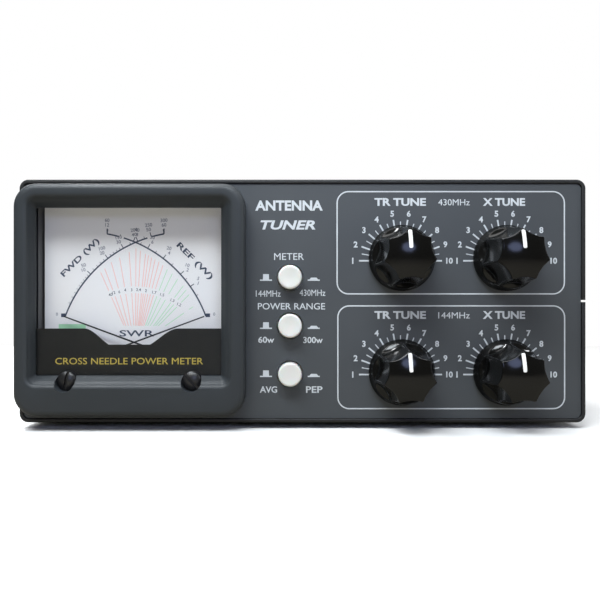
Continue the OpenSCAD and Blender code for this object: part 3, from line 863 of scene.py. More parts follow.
@dataclass
class Case:
    """The two covers and the feet."""

    shop: Workshop
    wall: float = 1.5
    corner: float = 3.6
    seam: float = 0.8
    edge: float = 0.35
    foot_radius: float = 8.0
    foot_draft: float = 0.8
    foot_rim: float = 0.7

    def build(self) -> None:
        """Makes every piece of the case."""
        for sign, name in ((1, "top_cover"), (-1, "bottom_cover")):
            self.cover(name, sign)
        self.feet()

    def section(self, half_w: float, half_h: float, sign: int, half_wall: float) -> np.ndarray:
        """A U outline: the wall's middle line, moved out and in by half the wall.

        The middle line is two straight sides joined by quarter circles to a straight top.

        Args:
            half_w: half the case's width.
            half_h: half the case's height.
            sign: 1 for the top cover, -1 for the bottom one.
            half_wall: half the wall's thickness here.

        Returns:
            A closed loop of X and Z.
        """
        r = self.corner - self.wall / 2
        a = np.linspace(0, math.pi / 2, 9)
        turn = np.stack([np.cos(a), np.sin(a)], -1)
        centre = np.array([half_w - self.corner, half_h - self.corner])
        drop = self.seam / 2 + self.wall / 2 - half_wall
        line = np.concatenate([[[half_w - self.wall / 2, drop]], centre + r * turn])
        normal = np.concatenate([[[1.0, 0.0]], turn])
        line = np.concatenate([line, (line * [-1, 1])[::-1]])
        normal = np.concatenate([normal, (normal * [-1, 1])[::-1]])
        loop = np.concatenate([line + normal * half_wall, (line - normal * half_wall)[::-1]])
        return loop * [1, sign]

    def cover(self, name: str, sign: int) -> None:
        """One folded cover with softened front and rear edges: the U outline carried along Y.

        Args:
            name: the frame node that it stands for.
            sign: 1 for the top cover, -1 for the bottom one.
        """
        low, high = local_box(name)
        half_h = max(abs(low[2]), abs(high[2]))
        half = self.wall / 2
        steps = edge_steps(self.edge)
        rows = [(low[1] + depth, half - inset) for inset, depth in steps]
        rows += [(high[1] - depth, half - inset) for inset, depth in steps[::-1]]
        grid = np.stack([level(self.section(high[0], half_h, sign, h), y) for y, h in rows])
        piece = Skin().body(grid).make(name + "_shell", FRONT)
        self.shop.dress(piece, "powder_coat", replaces=(name,))

    def feet(self) -> None:
        """Four rubber feet: a turned profile with a rounded rim and a screw recess, standing on the floor."""
        low, high = local_box("rubber_feet")
        radius, tall = self.foot_radius, high[2] - low[2]
        a = np.linspace(0, math.pi / 2, 6)
        rim = self.foot_rim * np.stack([np.sin(a) - 1, 1 - np.cos(a)], -1) + [radius - self.foot_draft, 0]
        recess = [[0, 1.4], [3.4, 1.4], [3.4, 0.15], [3.6, 0.0]]
        profile = np.concatenate([recess, rim, [[radius, tall - 0.3], [radius, tall], [0, tall]]])
        skin = Skin()
        for x in (low[0] + radius, high[0] - radius):
            for y in (low[1] + radius, high[1] - radius):
                skin.grid(turned(profile, 48)[..., [0, 2, 1]] + [x, y, low[2]])
        self.shop.dress(skin.make("feet_moulded", FRONT), "foot_rubber", replaces=("rubber_feet",))


# ---- front print ---------------------------------------------------------------------


@dataclass
class FrontPrint:
    """White screen print on the front panel: scale frames, scales, titles and legends."""

    shop: Workshop
    ink: float = 0.04
    line: float = 0.5
    tick_outer: float = 16.6
    tick_inner: float = 12.7
    small_outer: float = 15.7
    digit_radius: float = 19.1
    shift: tuple[float, float] = (0.35, 1.0)
    digit_height: float = 2.45

    def build(self) -> None:
        """Prints everything on one thin layer."""
        skin = Skin()
        self.frames(skin)
        for name, (x, z) in PIVOTS.items():
            if name.startswith("turn_"):
                self.scale(skin, x - self.shift[0], z - self.shift[1])
        self.titles(skin)
        self.legends(skin)
        self.icons(skin)
        self.shop.dress(skin.make("panel_print", FRONT), "panel_ink")

    def frames(self, skin: Skin) -> None:
        """Two rounded frames, one round each pair of knobs."""
        for x0, x1, z0, z1 in ((13.6, 105.0, 2.6, 44.0), (13.9, 105.1, -43.3, -1.7)):
            half_w, half_h, middle = (x1 - x0) / 2, (z1 - z0) / 2, ((x0 + x1) / 2, (z0 + z1) / 2)
            outer = round_loop(half_w, half_h, 4.8, middle)
            inner = round_loop(half_w - self.line, half_h - self.line, 4.8 - self.line, middle)
            skin.ribbon(outer, inner, -self.ink, 0.02)

    def scale(self, skin: Skin, x: float, z: float) -> None:
        """Ticks every 10 degrees and numbers 1 to 10 every 20 degrees, clockwise from the left.

        Args:
            skin: where the print goes.
            x: X of the scale's middle.
            z: Z of the scale's middle.
        """
        for step in range(19):
            angle = 180 - 10 * step
            major = step % 2 == 0
            outer = self.tick_outer if major else self.small_outer
            width = 0.62 if major else 0.38
            start, end = polar(self.tick_inner, angle, (x, z)), polar(outer, angle, (x, z))
            skin.bar(start, end, width, -self.ink, 0.02)
            if major:
                place = polar(self.digit_radius, angle, (x, z))
                shift = 0.5 if step == 18 else 0.0
                digit = Legend(str(step // 2 + 1), place[0] + shift, place[1], self.digit_height, bold=0.03)
                write(skin, digit, 0.0, self.ink)

    def titles(self, skin: Skin) -> None:
        """The heading inside each frame."""
        for z, band in ((39.6, "430MHz"), (-5.6, "144MHz")):
            write(skin, Legend("TR TUNE", 39.1, z, 3.15, 20.6, 0.035), 0.0, self.ink)
            write(skin, Legend(band, 60.6, z - 0.1, 2.5, 12.6, 0.0), 0.0, self.ink)
            write(skin, Legend("X TUNE", 80.6, z, 3.15, 16.9, 0.035), 0.0, self.ink)

    def legends(self, skin: Skin) -> None:
        """The words round the buttons, and the generic name at the top."""
        words = (
            Legend("ANTENNA", -5.4, 38.2, 4.1, 27.0, 0.035),
            Legend("TUNER", -5.8, 30.4, 3.7, 22.0, 0.03, 0.22),
            Legend("METER", -5.4, 17.8, 2.65, 11.9, 0.0),
            Legend("144MHz", -13.7, 3.0, 2.5, 9.9, 0.0),
            Legend("430MHz", 4.0, 3.3, 2.5, 10.3, 0.0),
            Legend("POWER RANGE", -4.4, -2.1, 2.6, 26.9, 0.005),
            Legend("60w", -14.5, -15.5, 2.5, 6.4, 0.018),
            Legend("300w", 4.2, -15.6, 2.5, 7.8, 0.018),
            Legend("AVG", -13.6, -35.4, 2.6, 6.9, 0.018),
            Legend("PEP", 4.7, -35.4, 2.6, 6.6, 0.018),
        )
        for legend in words:
            write(skin, legend, 0.0, self.ink)

    def icons(self, skin: Skin) -> None:
        """Beside each button: a cap standing on its line for out, a low cap for in."""
        for node in ("button_band", "button_range", "button_peak"):
            low, high = local_box(node)
            z = (low[2] + high[2]) / 2
            for x, tall, foot, top in ((-14.6, 2.2, 1.2, 1.15), (4.5, 0.8, 1.8, 1.1)):
                skin.bar((x - 2.4, z - 1.1), (x + 2.4, z - 1.1), 0.48, -self.ink, 0.02)
                base = z - 0.9
                corners = [[x - foot, base], [x + foot, base], [x + top, base + tall], [x - top, base + tall]]
                skin.slab(np.array(corners), -self.ink, 0.02)


# ---- knobs and buttons ----------------------------------------------------------------


@dataclass
class FlutedKnob:
    """A skirted knob with seven concave flutes and a white pointer line."""

    shop: Workshop
    skirt: float = 13.2
    height: float = 21.5
    gap: float = 0.6
    rest: float = 92.0
    flutes: int = 7
    flute_radius: float = 11.6
    ridge_top: float = 9.9
    valley_top: float = 8.1
    valley_low: float = 9.6
    dome: float = 1.6
    sag: float = 1.75
    face_radius: float = 9.45
    brow: float = 0.45
    runout: float = 6.4

    def lathe(self, t: np.ndarray) -> np.ndarray:
        """Radius of the uncut blank at height t: a short skirt, a shoulder and a slight taper to the top."""
        top = self.height - self.dome
        shoulder = [0.0, 1.1, 1.7, 2.6, 4.2, 6.0, top - 0.9, top - 0.15]
        radius = [self.skirt, self.skirt, 13.0, 12.5, 12.0, 11.75, self.ridge_top, self.ridge_top]
        return np.interp(t, shoulder, radius)

    def flute(self, theta: np.ndarray, t: np.ndarray) -> np.ndarray:
        """Radius at which a ray meets the nearest flute's circle.

        With the flute's axis at distance D and an angle p from the ray, the ray meets its near side at
        D cos p - sqrt(rho^2 - D^2 sin^2 p). D shrinks towards the top, and grows fast near the skirt so that
        the flute runs out.
        """
        slope = np.interp(t, [self.runout, self.height], [self.valley_low, self.valley_top])
        valley = slope + np.clip(self.runout - t, 0, None) ** 2 * 0.33
        distance = valley + self.flute_radius
        off = np.mod(theta, TURN / self.flutes) - TURN / self.flutes / 2
        inside = self.flute_radius**2 - (distance * np.sin(off)) ** 2
        cut = distance * np.cos(off) - np.sqrt(np.clip(inside, 0, None))
        return np.where(inside > 0, cut, 99.0)

    def crown(self, r: np.ndarray) -> np.ndarray:
        """Height of the domed face: the full height less the sag times (r / face radius) squared."""
        return self.height - self.sag * (r / self.face_radius) ** 2

    def surface(self) -> np.ndarray:
        """The knob's skin from the rim of its hollow foot to the middle of its face, as a polar grid.

        The wall is the blank cut by the flutes. Its last stretch turns in by the brow times 1 - sqrt(1 - u^2),
        and is lifted to meet the dome at the wall's own radius.

        Returns:
            Grid of points in millimetres about the knob's middle, the face towards -Y.
        """
        theta = np.linspace(0, TURN, self.flutes * 28, endpoint=False)[None, :]
        top = self.height - self.dome
        side = np.concatenate([
            np.linspace(0, 1.1, 3), np.linspace(1.4, 7.0, 20), np.linspace(7.6, top - 1.0, 12),
            top - 0.9 + 0.75 * np.sin(np.linspace(0, math.pi / 2, 9)),
        ])[:, None]
        last = np.clip((side - top + 0.75) / 0.6, 0, 1)
        wall = np.minimum(self.lathe(side), self.flute(theta, side)) - self.brow * (1 - np.sqrt(1 - last**2))
        brim = self.crown(wall[-1:]) - (top - 0.15)
        rise = side + brim * np.clip((side - 7.0) / (top - 7.15), 0, None)
        share = np.array([0.97, 0.9, 0.8, 0.65, 0.5, 0.35, 0.2, 0.08, 0.0])[:, None]
        face = wall[-1:] * share
        crown = self.crown(face)
        foot = np.array([[0.0, 3.2], [3.3, 3.2], [self.skirt - 2.0, 3.0], [self.skirt - 1.7, 0.0]])
        inner = np.repeat(foot[:, :1], theta.shape[1], 1)
        floor = np.repeat(foot[:, 1:], theta.shape[1], 1)
        radius = np.concatenate([inner, wall, face])
        high = np.concatenate([floor, rise, crown])
        turn = theta + math.radians(self.rest)
        return np.stack([radius * np.cos(turn), -self.gap - high, radius * np.sin(turn)], -1)

    def pointer(self) -> np.ndarray:
        """The painted line: a strip along the radius with rounded ends that follows the domed face.

        Returns:
            Grid of points in millimetres about the knob's middle.
        """
        along = np.concatenate([[2.3, 2.45, 2.8], np.linspace(3.4, 8.2, 8), [8.8, 9.1, 9.2]])
        half = np.interp(along, [2.3, 2.45, 2.8, 8.8, 9.1, 9.2], [0.32, 0.55, 0.71, 0.71, 0.55, 0.32])
        aside = half[:, None] * np.linspace(-1, 1, 5)[None, :]
        along = along[:, None] + 0 * aside
        lift = self.crown(np.hypot(along, aside))
        c, s = math.cos(math.radians(self.rest)), math.sin(math.radians(self.rest))
        return np.stack([along * c - aside * s, -self.gap - lift, along * s + aside * c], -1)

    def build(self) -> None:
        """Makes the four knobs and their lines, each on its own body."""
        for name, (x, z) in PIVOTS.items():
            if not name.startswith("turn_"):
                continue
            key = name.removeprefix("turn_")
            place = np.array([x, 0, z])
            skin = Skin().grid(self.surface() + place)
            knob = skin.make("knob_" + key + "_moulded", FRONT, math.radians(38))
            self.shop.dress(knob, "knob_gloss", "tune_" + key, ("knob_" + key,))
            top = self.pointer() + place + [0, -0.02, 0]
            strip = np.stack([top, top + [0, 0.12, 0]])
            skin = Skin()
            skin.grid(strip[0], cols_close=False).grid(strip[1], cols_close=False)
            for band in (strip[:, 0], strip[:, -1], strip[:, :, 0], strip[:, :, -1]):
                skin.grid(band, cols_close=False)
            self.shop.dress(skin.make("pointer_" + key, FRONT), "knob_ink", "tune_" + key)


@dataclass
class PushButtons:
    """Three round caps with a soft rim and a slightly hollow face."""

    shop: Workshop
    cap: float = 4.7
    rim: float = 0.75

    def build(self) -> None:
        """Makes each cap and stem as one turned piece on its own body."""
        for key in ("band", "range", "peak"):
            low, high = local_box("button_" + key)
            middle = ((low[0] + high[0]) / 2, (low[2] + high[2]) / 2)
            front = low[1]
            a = np.linspace(0, math.pi / 2, 7)
            rim = self.rim * np.stack([np.sin(a) - 1, 1 - np.cos(a)], -1) + [self.cap, front]
            face = np.array([[0, front + 0.22], [1.5, front + 0.19], [2.8, front + 0.09], [3.5, front + 0.01]])
            stem = np.array([[self.cap, 3.6], [5.9, 3.6], [5.9, 4.6], [1.9, 4.6], [1.9, high[1]], [0, high[1]]])
            grid = turned(np.concatenate([face, rim, stem]), 64, middle)
            piece = Skin().grid(grid).make("button_" + key + "_moulded", FRONT)
            self.shop.dress(piece, "button_plastic", "push_" + key, ("button_" + key,))


# ---- meter ---------------------------------------------------------------------------


@dataclass
class Bezel:
    """The square frame round the meter, with a rolled outer edge and a bevel down to the window."""

    shop: Workshop
    corner: float = 8.8
    roll: float = 2.4
    window_x: tuple[float, float] = (-105.3, -32.1)
    window_z: tuple[float, float] = (-29.4, 36.8)
    ridge: tuple[float, float, float, float] = (-107.1, -28.2, -32.9, 40.5)
    window_y: float = -4.0
    well: float = 3.98

    def loops(self) -> np.ndarray:
        """Rounded outlines from the back of the outer wall over the rim and down to the window's pocket.

        Returns:
            Grid of outlines, every one with as many points.
        """
        low, high = local_box("meter_bezel")
        middle = ((low[0] + high[0]) / 2, (low[2] + high[2]) / 2)
        half_w, half_h, proud = (high[0] - low[0]) / 2, (high[2] - low[2]) / 2, low[1]

        def outer(inset: float, y: float) -> np.ndarray:
            """The outer outline moved in."""
            return level(round_loop(half_w - inset, half_h - inset, self.corner - inset * 0.55, middle), y)

        def inner(box: tuple[float, float, float, float], radius: float, y: float) -> np.ndarray:
            """An outline of the opening."""
            x0, x1, z0, z1 = box
            return level(round_loop((x1 - x0) / 2, (z1 - z0) / 2, radius, ((x0 + x1) / 2, (z0 + z1) / 2)), y)

        def between(share: float) -> tuple[float, float, float, float]:
            """The opening's sides, a share of the way from the ridge to the window."""
            edge = (*self.window_x, *self.window_z)
            return tuple(a + (b - a) * share for a, b in zip(self.ridge, edge))

        rolled = [
            outer(self.roll * (1 - math.cos(a)), proud + self.roll * (1 - math.sin(a)))
            for a in np.linspace(0, math.pi / 2, 8)
        ]
        x0, x1, z0, z1 = self.ridge
        rim = inner((x0 - 1.2, x1 + 1.2, z0 - 1.2, z1 + 1.2), 4.9, proud)
        soft = [
            inner((x0 - 0.8, x1 + 0.8, z0 - 0.8, z1 + 0.8), 4.5, proud + 0.06),
            inner((x0 - 0.35, x1 + 0.35, z0 - 0.35, z1 + 0.35), 4.0, proud + 0.25),
            inner(between(0.02), 3.6, proud + 0.56),
            inner(between(0.1), 3.3, proud + 0.98),
            inner(between(0.2), 3.0, proud + 1.5),
        ]
        down = [
            inner(between(share), 3.2 - 2.5 * share, proud + (self.window_y - proud) * share)
            for share in (0.4, 0.6, 0.8, 0.93)
        ]
        edge = [inner(between(1.0), 0.6, self.window_y), inner(between(1.0), 0.6, self.window_y + 0.9)]
        pocket = (self.window_x[0] - 1, self.window_x[1] + 1, self.window_z[0] - 1, self.window_z[1] + 1)
        back = [inner(pocket, 0.5, self.window_y + 0.9), inner(pocket, 0.5, 0.0)]
        return np.stack([outer(0, 0.0), outer(0, -4.0), *rolled, rim, *soft, *down, *edge, *back])

    def build(self) -> None:
        """Makes the bezel as one closed skin, then cuts a round well for each zero screw."""
        piece = Skin().grid(self.loops(), rows_close=True).make("bezel_moulded", FRONT, math.radians(50))
        wells = Skin()
        for key in ("set_fwd", "set_ref"):
            wells.body(turned(np.array([[self.well, -12.0], [self.well, 2.0]]), 72, PIVOTS[key]))
        cut_away(piece, wells.make("wells", FRONT))
        piece.data.set_sharp_from_angle(angle=math.radians(50))
        self.shop.dress(piece, "bezel_plastic", replaces=("meter_bezel",))


@dataclass
class ZeroScrews:
    """Slotted round-headed screws that set each needle's zero."""

    shop: Workshop
    radius: float = 3.75
    slot: float = 1.1
    dome: float = 1.3

    def head(self, angle: float) -> np.ndarray:
        """A dome with a slot, as chords across the head.

        At each distance v from the slot's middle a chord runs over x = u sqrt(R^2 - v^2). Its height is the
        dome's, or the slot's floor between the slot's walls. The chord's ends turn down the side.

        Args:
            angle: the slot's direction in degrees from +X.

        Returns:
            Grid of points in millimetres about the screw's middle, the face towards -Y.
        """
        half = self.slot / 2
        flank = self.radius * np.cos(np.linspace(0.03, 1.25, 12))
        v = np.concatenate([-flank, [-half - 0.12, -half, -half, 0, half, half, half + 0.12], flank[::-1]])
        floor = np.zeros(len(v), bool)
        floor[14:17] = True
        u = np.concatenate([[-1.0, -1.0, -0.985], np.sin(np.linspace(-1.35, 1.35, 21)), [0.985, 1.0, 1.0]])
        side = np.abs(np.arange(len(u)) - (len(u) - 1) / 2) > (len(u) - 1) / 2 - 0.5
        chord = np.sqrt(np.clip(self.radius**2 - v**2, 0, None))
        x = chord[:, None] * u[None, :]
        far = (x**2 + v[:, None] ** 2) / self.radius**2
        y = -6.2 + self.dome * (1 - np.sqrt(np.clip(1 - 0.82 * far, 0, None))) / (1 - math.sqrt(0.18))
        y = np.where(floor[:, None], np.maximum(y, -4.85), y)
        y = np.where(side[None, :], -2.2, y)
        c, s = math.cos(math.radians(angle)), math.sin(math.radians(angle))
        z = v[:, None] + 0 * x
        return np.stack([x * c - z * s, y, x * s + z * c], -1)

    def build(self) -> None:
        """Makes both screws, each on its own body."""
        for key, angle in (("fwd", -48.0), ("ref", 80.0)):
            x, z = PIVOTS["set_" + key]
            grid = self.head(angle) + [x, 0, z]
            skin = Skin().grid(grid, cols_close=False)
            for rim in (grid[0], grid[-1]):
                skin.grid(np.stack([rim, rim * [1, 0, 1] + [0, -2.2, 0]]), cols_close=False)
            foot = np.array([[self.radius * 0.999, -2.2], [2.2, -2.2], [2.2, -1.6], [0, -1.6]])
            skin.grid(turned(foot, 48, (x, z)))
            piece = skin.make("zero_screw_" + key + "_turned", FRONT)
            self.shop.dress(piece, "black_plastic", "adjust_" + key, ("zero_screw_" + key,))


@dataclass
class Needles:
    """The two pointers: thin tapering blades on round hubs with a counterweight."""

    shop: Workshop
    length: float = 52.5
    tail: float = 7.0
    zero: float = NEEDLE_ZERO
    thick: float = 0.3

    def build(self) -> None:
        """Makes each pointer on its own body: blade, hub and counterweight."""
        for side, y in ((Side.FORWARD, 3.1), (Side.REFLECTED, 1.5)):
            key = side.value
            ray = np.array(polar(1.0, side.aim(self.zero)))
            across = np.array([-ray[1], ray[0]])
            run = np.linspace(-self.tail, self.length, 40)
            half = np.interp(run, [-self.tail, 0, 6, self.length], [0.6, 0.6, 0.38, 0.24])
            path = np.array(side.pivot()) + run[:, None] * ray
            blade = np.concatenate([path + half[:, None] * across, (path - half[:, None] * across)[::-1]])
            skin = Skin().slab(blade, y, y + self.thick)
            hub = np.array([[0.6, y - 0.1], [1.4, y - 0.1], [1.6, y + 0.05], [1.6, y + 0.7], [0.6, y + 0.7]])
            skin.grid(turned(hub, 40, side.pivot()), rows_close=True)
            skin.body(turned(np.array([[1.1, y], [1.1, y + 0.6]]), 32, tuple(path[0])))
            piece = skin.make("needle_" + key + "_fine", FRONT)
            self.shop.dress(piece, "needle_black", "movement_" + key, (key + "_needle",))


@dataclass
class Mask:
    """The black strip inside the window with its curved notch, and the yellow line of print."""

    shop: Workshop
    top: float = -10.9
    notch_floor: float = -17.3
    shoulders: tuple[float, float] = (-86.5, -49.6)
    floor_x: tuple[float, float] = (-77.0, -60.5)
    y: float = -2.5

    def outline(self) -> np.ndarray:
        """The strip's outline: a straight top with a notch.

        Each side of the notch falls by t^1.9 (1.9 - 0.9 t), a soft shoulder, from the top to the flat floor.

        Returns:
            A closed outline of X and Z.
        """
        (x0, _, z0), (x1, _, _) = local_box("meter_mask")
        share = np.linspace(0, 1, 14)
        fall = self.top + (self.notch_floor - self.top) * share**1.9 * (1.9 - 0.9 * share)
        left = np.stack([self.shoulders[0] + (self.floor_x[0] - self.shoulders[0]) * share, fall], -1)
        right = np.stack([self.shoulders[1] + (self.floor_x[1] - self.shoulders[1]) * share, fall], -1)[::-1]
        return np.concatenate([[[x0, z0], [x0, self.top]], left, right, [[x1, self.top], [x1, z0]]])

    def build(self) -> None:
        """Makes the strip and its print."""
        strip = Skin().slab(self.outline(), self.y, self.y + 0.8).make("mask_printed", FRONT)
        self.shop.dress(strip, "mask_black", replaces=("meter_mask",))
        skin = Skin()
        write(skin, Legend("CROSS NEEDLE POWER METER", -68.7, -23.8, 2.6, 58.5, 0.0), self.y - 0.02, 0.03)
        self.shop.dress(skin.make("mask_print", FRONT), "mask_ink")


@dataclass
class Dial:
    """Scales on the dial plate: two power arcs, the fan of SWR lines and their numbers."""

    shop: Workshop
    zero: float = NEEDLE_ZERO
    sweep: float = 59.8
    radius: float = 52.6
    law: float = 0.56
    ink: float = 0.03
    fwd_full: float = 60.0
    ref_full: float = 12.0
    numbers: float = 29.0
    lines_red: tuple[float, ...] = (40.0, 12.0, 6.0, 4.0, 3.0, 2.6, 2.4, 2.2, 2.1, 2.0, 1.9, 1.8, 1.7)
    lines_green: tuple[float, ...] = (1.6, 1.5, 1.4, 1.3, 1.25, 1.2, 1.1)
    lines_named: tuple[float, ...] = (40.0, 12.0, 6.0, 4.0, 3.0, 2.4, 2.0, 1.7, 1.5, 1.3, 1.2)
    fwd_labels: tuple[float, ...] = (10, 20, 30, 40, 50, 60)
    fwd_ticks: tuple[float, ...] = (1, 2, 3, 4, 5, 6, 7, 8, 9, 12, 14, 16, 18, 22, 24, 26, 28, 35, 45)
    ref_labels: tuple[float, ...] = (1, 2, 4, 6, 8, 12)
    ref_ticks: tuple[float, ...] = (0.5, 1.5, 3, 5, 7, 10)

    def __post_init__(self) -> None:
        """Reads the pivots and the dial's face from the frame."""
        self.fwd = Side.FORWARD.pivot()
        self.ref = Side.REFLECTED.pivot()
        self.middle = ((self.fwd[0] + self.ref[0]) / 2, self.fwd[1])
        self.y = float(local_box("dial_plate")[0][1])

    def build(self) -> None:
        """Prints each colour as its own layer."""
        dark, grey, red, green = Skin(), Skin(), Skin(), Skin()
        for side in Side:
            self.power_arc(dark, grey, side)
        self.fan(red, self.lines_red)
        self.fan(green, self.lines_green)
        self.fan_numbers(dark)
        write(dark, Legend("SWR", self.middle[0] + 0.5, -13.2, 2.6, 14.2, 0.015), self.y, self.ink)
        write(dark, Legend("FWD (W)", -90.6, 17.6, 3.1, 20.6, 0.025, turn=45), self.y, self.ink)
        write(dark, Legend("REF (W)", -44.0, 16.2, 3.1, 19.6, 0.025, turn=-45), self.y, self.ink)
        green.bar((-99.5, -10.4), (-88.5, -10.4), 1.9, self.y - self.ink, self.y + 0.01)
        for name, skin in (("dark", dark), ("grey", grey), ("red", red), ("green", green)):
            self.shop.dress(skin.make("dial_print_" + name, FRONT), "dial_ink_" + name)

    def deflection(self, share: float) -> float:
        """Degrees a needle moves for a share of full power: the sweep times the share to the law's power."""
        return self.sweep * share**self.law

    def spot(self, degrees: float, radius: float, side: Side) -> tuple[float, float]:
        """A point over the dial at a needle's deflection and a radius from its pivot."""
        return polar(radius, side.aim(self.zero + degrees), side.pivot())

    def power_arc(self, dark: Skin, grey: Skin, side: Side) -> None:
        """One power scale: arc with a break near its end, ticks outside it, two rows of small numbers.

        Args:
            dark: where the arc and the ticks go.
            grey: where the numbers go.
            side: which power it shows.
        """
        reflected = side is Side.REFLECTED
        full = self.ref_full if reflected else self.fwd_full
        face, back = self.y - self.ink, self.y + 0.01
        for stretch in ((0.0, self.sweep - 7.6), (self.sweep - 5.4, self.sweep)):
            start, end = (side.aim(self.zero + degrees) for degrees in stretch)
            dark.slab(arc_band(side.pivot(), self.radius, start, end, 0.6), face, back)
        tip = self.spot(self.sweep, self.radius, side)
        dark.bar(tip, (tip[0], tip[1] + 2.2), 0.5, face, back)
        square = self.spot(0, self.radius + 0.9, side)
        dark.bar((square[0] - 0.9, square[1]), (square[0] + 0.9, square[1]), 1.5, face, back)
        aside = 2.6 if reflected else -2.6
        write(grey, Legend("0", square[0] + aside, square[1] + 0.5, 1.3, bold=0.01), self.y, self.ink)
        labels = self.ref_labels if reflected else self.fwd_labels
        for value in (*labels, *(self.ref_ticks if reflected else self.fwd_ticks)):
            degrees = self.deflection(value / full)
            reach, width = (1.9, 0.34) if value in labels else (1.0, 0.22)
            start = self.spot(degrees, self.radius, side)
            end = self.spot(degrees, self.radius + reach, side)
            dark.bar(start, end, width, face, back)
        for value in labels:
            upper = 5 * value
            degrees = self.deflection(value / full)
            lift = 4.0 if value != full else 4.6
            x, z = self.spot(degrees, self.radius + lift, side)
            if value == full:
                x, z = tip[0], tip[1] + 4.6
            turn = (side.aim(self.zero + degrees) - 90) * 0.35
            write(grey, Legend(str(upper), x, z + 1.0, 1.45, bold=0.015, turn=turn), self.y, self.ink)
            write(grey, Legend(str(value), x, z - 0.9, 1.45, bold=0.015, turn=turn), self.y, self.ink)

    def crossing(self, share: float, swr: float) -> tuple[float, float, float]:
        """Where the needles cross for a forward power and an SWR.

        Reflected power is forward power times ((s - 1) / (s + 1))^2. Each needle is a ray from its pivot, and
        the two rays' equations give the crossing and each needle's length to it.

        Args:
            share: forward power as a share of its full scale.
            swr: the standing wave ratio.

        Returns:
            X, Z and the larger of both needles' lengths to the crossing.
        """
        gamma = ((swr - 1) / (swr + 1)) ** 2
        back = share * self.fwd_full * gamma / self.ref_full
        a = math.radians(180 - self.zero - self.deflection(share))
        b = math.radians(self.zero + self.deflection(back))
        gap = self.fwd[0] - self.ref[0]
        spread = math.sin(a - b)
        from_ref = gap * math.sin(a) / spread
        from_fwd = gap * math.sin(b) / spread
        x, z = self.ref[0] + from_ref * math.cos(b), self.ref[1] + from_ref * math.sin(b)
        return x, z, max(from_ref, from_fwd)

    def line(self, swr: float) -> np.ndarray:
        """The stretch of an SWR line that shows above the mask and inside both arcs."""
        spots = np.array([self.crossing(share, swr) for share in np.linspace(0.004, 1.35, 240) ** 1.5])
        climbing = np.minimum.accumulate(np.concatenate([[True], np.diff(spots[:, 1]) > 0]))
        shown = climbing & (spots[:, 1] > -10.2) & (spots[:, 2] < self.radius - 2.0)
        return spots[shown, :2]

    def fan(self, skin: Skin, values: tuple[float, ...]) -> None:
        """Thin printed lines, each a band along its points."""
        for value in values:
            whole = self.line(value)
            far = np.linalg.norm(whole - np.array(self.middle), axis=1)
            for path in (whole[far < self.numbers - 1.2], whole[far > self.numbers + 1.2]):
                if len(path) < 3:
                    continue
                along = np.gradient(path, axis=0)
                normal = np.stack([-along[:, 1], along[:, 0]], -1) / np.linalg.norm(along, axis=1)[:, None]
                band = np.concatenate([path + normal * 0.13, (path - normal * 0.13)[::-1]])
                skin.slab(band, self.y - self.ink * 0.7, self.y + 0.01)

    def fan_numbers(self, skin: Skin) -> None:
        """Small numbers where the main SWR lines pass an arc about the dial's foot."""
        for value in self.lines_named:
            path = self.line(value)
            far = np.linalg.norm(path - np.array(self.middle), axis=1)
            x, z = path[int(np.argmin(np.abs(far - self.numbers)))]
            turn = (self.middle[0] - x) * 1.2
            write(skin, Legend(f"{value:g}", x, z, 1.2, bold=0.01, turn=turn), self.y, self.ink)


# ---- rear ----------------------------------------------------------------------------


